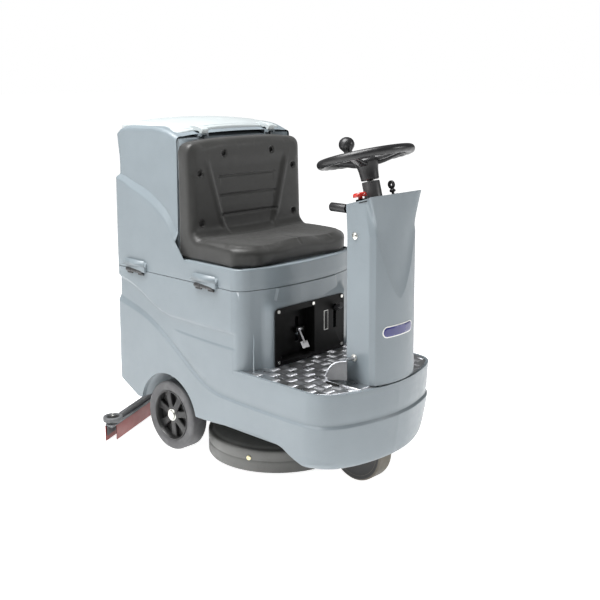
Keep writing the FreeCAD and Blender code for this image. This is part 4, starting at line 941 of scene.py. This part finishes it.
def carve_seat(obj):
    """Channels, slanting ridges and bolt dishes pressed into the moulded skin."""
    normals = [v.normal.copy() for v in obj.data.vertices]
    for v, normal in zip(obj.data.vertices, normals):
        x, y, z = v.co / MM
        if x < -60 and z > 728 and normal.x > 0.35:
            edge = curve([(730, 106), (800, 132), (900, 161), (988, 186)], z)
            inner = 1 - ease((abs(y) - edge + 24) / 20)
            ridge = math.exp(-(((abs(y) - edge) / 9) ** 2))
            fade = (1 - ease((z - 955) / 50)) * ease((z - 725) / 30)
            depth = (6.5 * inner - 3.0 * ridge) * fade
            for level in (928, 864, 800):
                below = level - z
                if abs(y) < 150:
                    depth += 4.0 * recess(below, 1.5, 4.5) * (1 - ease((abs(y) - 122) / 14))
                if abs(y) < 122:
                    depth += 1.2 * ease(below / 8) * (1 - ease((below - 18) / 20))
            for by, bz in SEAT_BOLTS:
                r = math.hypot(abs(y) - by, z - bz)
                depth += 13 * (1 - ease((r - 8.5) / 4.5))
            x -= depth
        elif z > 700 and x > 20 and normal.z > 0.4:
            z -= 1.6 * recess(y, 2.0, 6) * ease((x - 60) / 40)
        side = 262 + 1.2 * (z > 690)
        v.co = Vector((max(x, -147), max(-side, min(side, y)), max(668.6, z))) * MM


def make_seat():
    seat = piece("seat_cushion", seat_form(), "recovery_unit", "seat_skin", ["seat"], smooth=180)
    only(seat)
    remesh = seat.modifiers.new("remesh", "REMESH")
    remesh.mode = "VOXEL"
    remesh.voxel_size = 0.006
    bpy.ops.object.modifier_apply(modifier="remesh")
    inflate(seat)
    seat.modifiers.new("refine", "SUBSURF").levels = 1
    bpy.ops.object.modifier_apply(modifier="refine")
    carve_seat(seat)
    seat.data.shade_smooth()
    cups = []
    for y, z in SEAT_BOLTS:
        for side in (-1, 1):
            cup = lathe([(11.5, 1.5), (10.5, 2.4), (9.2, 2.0), (8.6, 0.0), (8.4, -13), (10.5, -13),
                         (11.2, 0)], 28)
            cups.append(placed(cup, turned((-92, side * y, z), (-80, side * y, z))))
    piece("seat_bolt_cups", join(*cups), "recovery_unit", "seat_skin")


# ---- footplate ------------------------------------------------------------------------

PLATE_Z = 346.4          # top of the sheet, under the bars


def profile_x(points, y):
    """X of an outline at distance |y| from the middle."""
    ordered = sorted((-p.y, p.x) for p in points)
    kept = [o for i, o in enumerate(ordered) if i == 0 or o[0] > ordered[i - 1][0] + 0.2]
    return curve(kept, abs(y))


def make_footplate():
    rim = spline(APRON_RIM, 60)
    inner = [p + n * 12.0 for p, n in zip(rim, outline_normals(rim))]
    nose = [p for p in inner if p.x > 280]
    back = spline(TANK_FRONT, 40)
    half = 259.6

    def limits(y):
        return profile_x(back, y) + 1, profile_x(nose, min(abs(y), half))

    columns = []
    for y in steps(90, -half, half):
        low, high = limits(y)
        columns.append([(x, y, PLATE_Z) for x in steps(24, low, high)])
    sheet = piece("tread_sheet", grid(columns), "chassis", "tread_plate", ["footplate"])
    thicken(sheet, 3)
    bars = []
    pitch = 38.0
    for i in range(-7, 7):
        for j in range(3, 15):
            bx, by = (j + 0.5) * pitch, (i + 0.5) * pitch
            along_x = (i + j) % 2 == 0
            for k in range(5):
                offset = (k - 2) * 6.6
                cx, cy = (bx, by + offset) if along_x else (bx + offset, by)
                ex, ey = (14.5, 0) if along_x else (0, 14.5)
                ends = [(cx - ex, cy - ey), (cx + ex, cy + ey)]
                on_plate = all(abs(y) < half - 6 and limits(y)[0] + 4 < x < limits(y)[1] - 5
                               for x, y in ends)
                under_column = 402 < cx < 540 and abs(cy) < 150
                if on_plate and not under_column:
                    bars.append(tread_bar(*ends))
    piece("tread_bars", join(*bars), "chassis", "tread_plate", smooth=60)


def tread_bar(start, end):
    """One raised bar of the five-bar pattern, pointed at both ends."""
    a, b = Vector((*start, 0)), Vector((*end, 0))
    along = (b - a).normalized()
    side = Vector((-along.y, along.x, 0))
    columns = []
    for t, w in ((0, 0.1), (0.12, 1.1), (0.3, 1.8), (0.5, 2.0), (0.7, 1.8), (0.88, 1.1), (1, 0.1)):
        at = a.lerp(b, t)
        foot, top = PLATE_Z - 0.2, PLATE_Z + 1.6 * min(1, w / 1.8)
        columns.append([(*(at + side * k)[:2], z)
                        for k, z in ((w, foot), (w * 0.6, top), (-w * 0.6, top), (-w, foot))])
    return grid(columns)


# ---- steering column ------------------------------------------------------------------

COLUMN_BASE_Z = 350.8
FLARE_Z = 798
FLARE_RISE = 120         # the flare is full this far above FLARE_Z
NOSE_HALF = 93
BADGE_Z = 509


def column_top(x):
    return 886 + 0.285 * (x - 446.5)


def crease_z(u):
    """Height of the shield-shaped crease at share u of the nose's half-width."""
    return 605 + (FLARE_Z - 605) * u ** 1.6


def column_front(u, z):
    """Point of the bowed nose: upright below the crease, leaning back and flaring above it."""
    lean = 8 * (1 - u ** 4) * math.tanh(max(0, z - crease_z(u)) / 55)
    x, y = 555 + 17.5 * (1 - u * u) - lean, NOSE_HALF * u
    if z > FLARE_Z:
        k = min(1, (z - FLARE_Z) / FLARE_RISE) ** 1.15
        x = mix(x, curve([(0, 562.5), (0.5, 561.5), (0.8, 558.5), (0.88, 553), (0.94, 538),
                          (1, 519)], u), k)
        y = mix(y, curve([(0, 0), (0.5, 70), (0.8, 112), (0.88, 121), (0.94, 116),
                          (1, 104.5)], u), k)
    return x, y, z


def column_columns():
    low = [0, 0.004, 0.01] + steps(14, 0.06, 0.94) + [0.985, 1.0]
    high = [0.02, 0.05, 0.09] + steps(12, 0.14, 0.94) + [0.99, 1.0]
    columns = []
    side = [((mix(451.5, 538, f), 103 - 0.5 * f), (mix(446.5, 514.5, f), 103)) for f in steps(14)]
    band = [((mix(538, 555, f), mix(102.5, NOSE_HALF, f)),
             (mix(514.5, 519, f), mix(103, 104.5, f))) for f in steps(7)[1:]]
    for (x0, y0), (x1, y1) in side + band:
        column = [(x0, y0, mix(COLUMN_BASE_Z, FLARE_Z, t)) for t in low]
        column += [(mix(x0, x1, k), mix(y0, y1, k), mix(FLARE_Z, column_top(x1), k)) for k in high]
        columns.append(column)
    for u in steps(60, 1, 0)[1:]:
        top = column_top(column_front(u, FLARE_Z + FLARE_RISE)[0])
        column = [column_front(u, mix(COLUMN_BASE_Z, crease_z(u), t)) for t in low]
        column += [column_front(u, mix(crease_z(u), top, k)) for k in high]
        columns.append(column)
    return columns


def make_column():
    cover = piece("column_shell", both_halves(grid(column_columns())), "chassis", "body_grey",
                  ["column_cover"], smooth=40)
    thicken(cover, 3.2)
    soften(cover, 2.2, 3, 13)
    head = lathe([(11, 0), (11, 1.6), (8.5, 2.0), (8.5, 4.4), (6.5, 6.0), (3.4, 6.9), (3.0, 5.2),
                  (0.01, 5.2)], 28, closed=False)
    bolts = []
    for side in (-1, 1):
        for z in (425, 795):
            bolts.append(placed(head, turned((481.5, side * 102.6, z), (481.5, side * 112.6, z))))
    piece("column_bolt_heads", join(*bolts), "chassis", "zinc_steel")
    piece("badge_border", capsule(70, 17.5, 0.9), "chassis", "label_white")
    plate = piece("badge_plate", capsule(67, 14.5, 1.7), "chassis", "badge_blue", ["column_badge"])
    soften(plate, 0.5, 2, 40)


def capsule(reach, radius, height):
    """Long rounded plate lying on the column's nose."""
    outline = []
    for centre, start in ((reach - radius, -90), (radius - reach, 90)):
        for k in range(13):
            a = math.radians(start + 15 * k)
            outline.append((centre + radius * math.cos(a), radius * math.sin(a)))
        level = math.copysign(radius, centre)
        outline += [(mix(centre, -centre, t), level) for t in steps(20)[1:-1]]
    columns = []
    for y, z in outline:
        middle = max(radius - reach, min(reach - radius, y))
        column = []
        for t, h in ((0, -0.5), (0, height * 0.7), (0.05, height), (0.5, height), (1, height)):
            b, c = mix(y, middle, t), mix(z, 0, t)
            column.append((column_front(abs(b) / NOSE_HALF, BADGE_Z + c)[0] + h, b, BADGE_Z + c))
        columns.append(column)
    return grid(columns, closed=True)


def draw_in_dash(x, y, z, normal):
    """Keeps the dash inside the bowed column cover."""
    return min(x, 557.5 - 12 * (abs(y) / 100) ** 2), max(-113, min(113, y)), z


def make_column_details():
    dash = cad_core("dash_plate", "dash_panel", "chassis", "panel_black", draw_in_dash)
    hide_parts("dash_panel")
    flange = prism([(404, -148.5), (541, -148.5), (541, -106), (541, 106), (541, 148.5),
                    (404, 148.5)], 346.6, 351.4)
    soften(piece("base_flange", flange, "chassis", "tread_plate"), 1.2, 2, 40)
    bar = prism([(420, -163), (470, -163), (470, -157.5), (420, -157.5)], 347.4, 353)
    soften(piece("rubber_stop", bar, "chassis", "panel_black"), 1.0, 2, 40)
    border = block(205.4, 206.3, 62, 82, 425, 491)
    field = block(205.4, 206.9, 64.4, 79.6, 427.4, 488.6)
    soften(piece("label_border", border, "chassis", "label_white", ["panel_label"]), 0.3, 1, 40)
    soften(piece("label_field", field, "chassis", "panel_black"), 0.2, 1, 40)
    barrel = lathe([(0.01, -16), (4.4, -16), (4.4, -2), (9, -1), (9.6, 1), (9.0, 6), (6, 8),
                    (0.01, 8)], 32, closed=False)
    stem = block(-4.5, 4.5, -3.2, 3.2, 7, 16)
    bow = placed(lathe([(4, -3.4), (11.5, -3.4), (13.2, -2), (13.2, 2), (11.5, 3.4), (4, 3.4)], 40),
                 Matrix.Translation((0, 0, 21)) @ Matrix.Rotation(math.radians(90), 4, "X"))
    where = on_column() @ Matrix.Translation((38, 48, 0))
    made = piece("key_bow", placed(join(barrel, stem, bow), where), "key", "grip_black",
                 ["ignition_key"], smooth=40)
    soften(made, 0.7, 2, 40)


def make_pedal():
    """Curved treadle with a rolled bright edge and a cheek below it."""
    arc = spline([(411, 356), (415, 374), (424, 392), (440, 409), (463, 421), (496, 430)], 26)
    tread = []
    for i, p in enumerate(arc):
        after, before = arc[min(i + 1, len(arc) - 1)], arc[max(i - 1, 0)]
        n = (after - before).normalized()
        q = p - Vector((-n.y, n.x)) * 2.4
        tread.append([(p.x, -113, p.y), (p.x, -154, p.y), (q.x, -154, q.y), (q.x, -113, q.y),
                      (p.x, -113, p.y)])
    cheek = []
    for p in arc:
        floor = 353.5 + 18 * (p.x - 411) / 85
        heights = [p.y - 1, mix(p.y, floor, 0.5), min(p.y - 1.5, floor)]
        outer = [(p.x + 1.2, -153.6, z) for z in heights]
        inner = [(p.x + 1.2, -151.4, z) for z in reversed(heights)]
        cheek.append(outer + inner + outer[:1])
    edges = [tube([(p.x, y, p.y) for p in arc], 2.0, 12) for y in (-154, -113)]
    ribs = [tube([(p.x - 0.4, y, p.y + 0.6) for y in (-150, -117)], 1.1, 8) for p in arc[3:-2:2]]
    heel = tube([(416, -155.5, 357), (416, -111.5, 357)], 5, 20)
    soften(piece("pedal_plate", join(grid(tread), heel, *edges, *ribs), "pedal", "tread_plate",
                 ["accelerator_pedal"], smooth=45), 0.3, 1, 60)
    piece("pedal_cheek", grid(cheek), "pedal", "roller_grey")


# ---- steering wheel -------------------------------------------------------------------

RING_R = 138.5
RING_S = 117
KNOB_R = 134


def make_steering_wheel():
    columns = []
    for a in around(144):
        column = []
        for k in range(25):
            b = 2 * math.pi * k / 24
            under = max(0, -math.sin(b)) ** 2
            r = 13.2 + 0.55 * under * math.cos(24 * a)
            reach = RING_R + r * math.cos(b) * 0.97
            column.append((reach * math.cos(a), reach * math.sin(a), RING_S + r * math.sin(b)))
        columns.append(column)
    ring = grid(columns, closed=True)
    arms = []
    for angle in (50, 170, 290):
        rows = []
        for t in steps(14):
            r = mix(16, RING_R - 4, t)
            s = mix(97, 114, ease(t * 1.15)) - 4 * math.sin(math.pi * t)
            wide = mix(15, 10.5, t) + 3.5 * (1 - ease(t * 5)) + 4 * ease((t - 0.86) / 0.14)
            deep = mix(8.5, 5.5, t)
            rows.append([(r, wide * cap_x(b), s + deep * cap_y(b))
                         for b in steps(24, 0, 2 * math.pi)])
        arms.append(placed(grid(rows), Matrix.Rotation(math.radians(angle), 4, "Z")))
    boot = lathe([(16, 47), (26, 46), (27.6, 47), (28.2, 50), (28.8, 60), (30.2, 74), (33, 88),
                  (36.5, 97), (38, 103), (37, 108), (33, 111.5), (30, 112.5), (29, 110),
                  (16, 110)], 64)
    wheel = placed(join(ring, boot, *arms), on_column())
    piece("steering_ring", wheel, "steering_wheel_unit", "grip_black", ["steering_wheel"],
          smooth=50)
    cap = lathe([(28, 110), (28, 114.5), (26.5, 116.5), (22, 117.6), (12, 118.2),
                 (0.01, 118.4)], 48, closed=False)
    piece("wheel_cap", placed(cap, on_column()), "steering_wheel_unit", "grip_black",
          ["steering_hub_cap"])
    sleeve = lathe([(22, -16.5), (27.5, -16.5), (27.5, 40), (26.4, 42), (17, 42.4), (16.4, 40),
                    (16.4, -16.5)], 64)
    piece("tube_sleeve", placed(sleeve, on_column()), "chassis", "frame_black")
    a = math.radians(153)
    knob = lathe([(0.01, 132), (13.5, 132), (14.2, 134), (13, 138), (12.4, 145), (13.4, 155),
                  (18.2, 161), (22.9, 167), (25.2, 173.5), (25.2, 180), (23, 188), (18.2, 194.5),
                  (10.5, 199.4), (4, 201.2), (0.01, 201.5)], 48, closed=False)
    where = on_column() @ Matrix.Translation((KNOB_R * math.cos(a), KNOB_R * math.sin(a), 0))
    piece("knob_bulb", placed(knob, where), "knob", "grip_black", ["spinner_knob"], smooth=180)


def cap_x(b):
    """With cap_y, a rounded oblong section at angle b."""
    return math.copysign(abs(math.cos(b)) ** 0.7, math.cos(b))


def cap_y(b):
    return math.copysign(abs(math.sin(b)) ** 0.8, math.sin(b))


# ---- wheels ---------------------------------------------------------------------------

DRIVE_X = 421
DRIVE_Z = 104


def make_wheels():
    tyre = [(84.5, -29), (88, -31), (92, -32), (104, -33), (110, -32.4), (114, -30.5),
            (116.2, -27.5), (117, -23), (117, 23), (116.2, 27.5), (114, 30.5), (110, 32.4),
            (104, 33), (92, 32.4), (90.6, 31.2), (88, 30.6), (84.5, 29), (84.5, 0)]
    trim = [(12, 0), (22.5, 0), (23.4, 1), (23.4, 3.4), (22.4, 4.4), (19.2, 4.4), (18.6, 3.6),
            (18.2, 1.4), (15.4, 1.0), (14.8, 2.4), (13.8, 3.0), (10.4, 3.0), (9.8, 2.2),
            (9.4, 2.0), (8.6, 5.6), (7.2, 6.8), (4.4, 7.2), (4.0, 5.6), (0.01, 5.6)]
    for side, name in ((1, "left"), (-1, "right")):
        body = f"rear_wheel_{name}"
        out = turned((AXLE_X, side * 229, AXLE_Z), (AXLE_X, side * 230, AXLE_Z))
        made = piece(f"tyre_{name}", placed(lathe(tyre, 128), out), body, "tyre_grey",
                     [f"rear_tyre_{name}"], smooth=60)
        soften(made, 0.6, 1, 60)
        hub = turned((AXLE_X, side * 251, AXLE_Z), (AXLE_X, side * 252, AXLE_Z))
        small = Matrix.Diagonal((0.86, 0.86, 1, 1))
        piece(f"hub_{name}", placed(lathe(trim, 48, closed=False), hub @ small), body, "zinc_steel")
        spokes = []
        for a in around(7):
            rows = []
            for t in steps(8):
                r = mix(20, 81, t)
                w = mix(10, 13, t) + 5 * ease((t - 0.75) / 0.25) + 3 * ease((0.25 - t) / 0.25)
                h = mix(21.5, 17.5, ease(t))
                half = [(w, h - 16), (w, h - 2.5), (w - 2, h - 0.4), (w * 0.4, h)]
                rows.append([(r, y, z) for y, z in half] + [(r, -y, z) for y, z in reversed(half)])
            spokes.append(placed(grid(rows), out @ Matrix.Rotation(a + 0.2, 4, "Z")))
        barrel = lathe([(79, -26), (84.2, -26), (84.2, 30.4), (83.4, 31.4), (81.4, 31.6),
                        (80.2, 30.4), (78.5, 18), (77.5, 6)], 96)
        dish = lathe([(12, 2), (78, 2), (78, 4), (30, 6), (29, 20), (27.5, 22.4), (12, 22.8)], 64)
        piece(f"spokes_{name}", join(*spokes, placed(barrel, out), placed(dish, out)), body,
              "rim_black", [f"rear_rim_{name}"], smooth=40)
    front = turned((DRIVE_X, 0, DRIVE_Z), (DRIVE_X, -1, DRIVE_Z))
    tread = lathe([(75.2, -28), (92, -30), (98, -30.6), (101, -29.6), (103.2, -27), (104, -23),
                   (104, 23), (103.2, 27), (101, 29.6), (98, 30.6), (92, 30), (75.2, 28)], 112)
    piece("drive_tread", placed(tread, front), "drive_wheel", "tyre_tan", ["drive_tyre"], smooth=60)
    cheeks = []
    for side in (-1, 1):
        cheek = [(40, side * 26), (88, side * 29.5), (96.5, side * 31), (98.5, side * 30.8),
                 (98.5, side * 29), (40, side * 20)]
        cheeks.append(placed(lathe(cheek, 96), front))
    piece("drive_cheeks", join(*cheeks), "drive_wheel", "rim_black", smooth=50)


# ---- scrubbing deck -------------------------------------------------------------------

DECK_X = 60
SKIRT_R = 241.4


def settle_deck(x, y, z, normal):
    """Draws the deck's core in under its cover."""
    r = math.hypot(x - DECK_X, y)
    if r > 238:
        k = 236.5 / r
        return DECK_X + (x - DECK_X) * k, y * k, max(12, z - 1.5 * (z > 40))
    if z > 83 and r > 80:
        return x, y, z - 1.6
    return x, y, z


def make_deck():
    cad_core("deck_core", "brush_deck", "deck", "deck_black", settle_deck)
    skirt = lathe([(238, 10), (240.6, 10), (241.4, 11.5), (241.7, 40), (241.3, 46), (240.6, 47.4),
                   (240.6, 49), (241.6, 50.5), (241.9, 70), (241.9, 77.5), (240.6, 81),
                   (236.5, 83.4), (232, 84.2), (229, 85.4), (226, 89), (219, 92.5), (205, 97.5),
                   (182, 107.2), (165, 114), (153, 117.4), (152, 116.8), (182, 105.5), (219, 91),
                   (236, 80), (238, 74)], 192)
    cover = piece("deck_cover", placed(skirt, Matrix.Translation((DECK_X, 0, 0))), "deck",
                  "deck_black", ["brush_deck"], smooth=50)
    soften(cover, 0.6, 1, 50)
    lap = ((239, 12), (243.2, 12), (243.6, 14), (243.6, 66), (242.4, 68), (239, 68))
    flap = [[(DECK_X + r * math.cos(a), r * math.sin(a), z) for r, z in lap]
            for a in steps(10, math.radians(-152), math.radians(-146))]
    piece("skirt_lap", grid(flap), "deck", "deck_black")
    head = lathe([(8.2, -2), (8.2, 1.2), (7.4, 2.6), (5.6, 3.4), (3.6, 3.6), (3.0, 2.2),
                  (0.01, 2.2)], 28, closed=False)
    screws = []
    for k in range(5):
        a = math.radians(-69 + 72 * k)
        at, out = [(DECK_X + r * math.cos(a), r * math.sin(a), 55) for r in (SKIRT_R, 250)]
        screws.append(placed(head, turned(at, out)))
    piece("skirt_screws", join(*screws), "deck", "skirt_bolt", ["deck_bolts"])
    tufts = []
    rings = ((212, 74), (196, 68), (180, 62), (164, 58), (148, 52), (132, 46), (117, 40))
    for ring, (radius, count) in enumerate(rings):
        for k in range(count):
            a = 2 * math.pi * (k + 0.5 * (ring % 2)) / count
            tilt = random.uniform(-2.5, 2.5)
            swing = random.uniform(-2.5, 2.5)
            bottom = 2 + random.uniform(0, 1.6)
            profile = ((2.6, 46.5, 0), (3.2, 34, 0.2), (4.6, 12, 0.7), (5.0, bottom, 1.0),
                       (0.2, bottom + 1, 1.0))
            columns = [[(radius + q * math.cos(b) + g * tilt, q * math.sin(b) + g * swing, z)
                        for q, z, g in profile] for b in around(6)]
            where = Matrix.Translation((DECK_X, 0, 0)) @ Matrix.Rotation(a, 4, "Z")
            tufts.append(placed(grid(columns, closed=True), where))
    piece("brush_tufts", join(*tufts), "brush", "bristle", ["brush_bristles"], smooth=60)


# ---- squeegee -------------------------------------------------------------------------

BLADE_HALF = 374         # half the squeegee's width
BOW_HALF = 120           # half of its curved middle
ROLLER_X = -424
ROLLER_Y = 340


def squeegee_line(trim=0.0, count=28):
    """Plan line of the squeegee from its right tip to its left tip."""
    line = []
    for k in range(-count, count + 1):
        y = (BLADE_HALF - trim) * k / count
        if abs(y) < BOW_HALF:
            x = -559 + 27 * (abs(y) / BOW_HALF) ** 2
        else:
            x = mix(-532, -412, (abs(y) - BOW_HALF) / (BLADE_HALF - BOW_HALF))
        line.append((x, y))
    return line


def squeegee_strip(section, trim=0.0):
    """Section of (forward offset, height) points swept along the plan line."""
    columns = [[(x + f, y, z) for f, z in section + section[:1]] for x, y in squeegee_line(trim)]
    vertices, faces = grid(columns)
    rows = len(columns[0])
    faces.append(tuple(range(rows - 1)))
    faces.append(tuple(reversed(range(len(vertices) - rows, len(vertices) - 1))))
    return vertices, faces


def make_squeegee():
    rear = squeegee_strip([(-10.6, 1.5), (-9.6, 0.2), (-7.6, 0.2), (-7.2, 2), (-7.2, 55.5),
                           (-10.8, 55.5)])
    front = squeegee_strip([(26.2, 4), (27, 3), (29, 3), (29.8, 5), (29.8, 55.5),
                            (26.2, 55.5)], 30)
    lips = piece("blade_lips", join(rear, front), "squeegee", "blade_red", ["squeegee_blades"])
    soften(lips, 0.5, 1, 50)
    ribs = []
    for x, y in squeegee_line(14, 60):
        ribs.append(placed(block(-11.8, -10.8, -0.9, 0.9, 6, 36), Matrix.Translation((x, y, 0))))
    piece("blade_ribs", join(*ribs), "squeegee", "blade_red")


def make_rollers():
    for side, name in ((1, "left"), (-1, "right")):
        body = f"roller_{name}"
        disc = lathe([(6.1, 64.4), (30, 64.2), (33, 65.2), (34, 67.5), (34, 78.5), (33, 80.8),
                      (30, 82), (25, 82), (23.4, 81), (22.4, 77.4), (20, 76.4), (6.1, 76.2)], 72)
        centre = Matrix.Translation((ROLLER_X, side * ROLLER_Y, 0))
        piece(f"roller_disc_{name}", placed(disc, centre), body, "roller_grey",
              [f"squeegee_roller_{name}"], smooth=50)
        dish = lathe([(6.1, 76.4), (21.6, 76.6), (21.6, 77.2), (14, 77.0), (13, 78.2),
                      (6.1, 78.2)], 48)
        piece(f"roller_dish_{name}", placed(dish, centre), body, "rim_black")
        bolt = prism([(9.2 * math.cos(a), 9.2 * math.sin(a)) for a in around(6)], 78.6, 85.4)
        stud = lathe([(5, 78), (5, 88.6), (4, 89.6), (0.01, 89.8)], 24, closed=False)
        made = piece(f"roller_bolt_{name}", placed(join(bolt, stud), centre), "squeegee",
                     "zinc_steel")
        soften(made, 0.8, 2, 30)


# ---- carried-over parts ---------------------------------------------------------------

CARRIED = {
    "frame_black": ["chassis_frame", "column_frame", "column_tube", "drive_fork", "tank_hinge_pins",
                    "tank_hinge_straps"],
    "roller_grey": ["squeegee_frame"],
    "panel_black": ["filler_cap", "charge_socket", "control_panel", "column_rear_cover",
                    "seat_bolts", "float_filter", "estop_base", "key_switch"],
    "zinc_steel": ["squeegee_pivot", "rear_axle", "cover_bolts", "steering_shaft", "drive_axle"],
    "gear_steel": ["squeegee_lever", "steering_bearings", "pinion_shaft", "steering_gear"],
    "battery_case": ["batteries"],
    "motor_paint": ["motor_controller", "drive_motor", "suction_motor", "brush_motor"],
    "grip_black": ["direction_lever", "deck_lever"],
    "rim_black": ["drive_rim"],
    "deck_black": ["brush_disc"],
    "stop_red": ["emergency_button"],
    "gauge_glass": ["battery_gauge"],
}
SHARP = {"steering_gear", "pinion_shaft", "squeegee_frame"}


def dress_carried():
    for slot, nodes in CARRIED.items():
        for name in nodes:
            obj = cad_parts[name]
            coat(obj, slot)
            weld = obj.modifiers.new("weld", "WELD")
            weld.merge_threshold = MERGE
            soften(obj, 0.4 if name in SHARP else 0.9, 2, 40)


make_lower_body()
cad_core("body_core", "lower_body", "chassis", "body_grey", settle_lower)
make_recovery_tank()
cad_core("tank_core", "recovery_tank", "recovery_unit", "body_grey", settle_tank)
make_brows()
make_lid()
make_seat()
make_footplate()
make_column()
make_column_details()
make_pedal()
make_steering_wheel()
make_wheels()
make_deck()
make_squeegee()
make_rollers()
dress_carried()
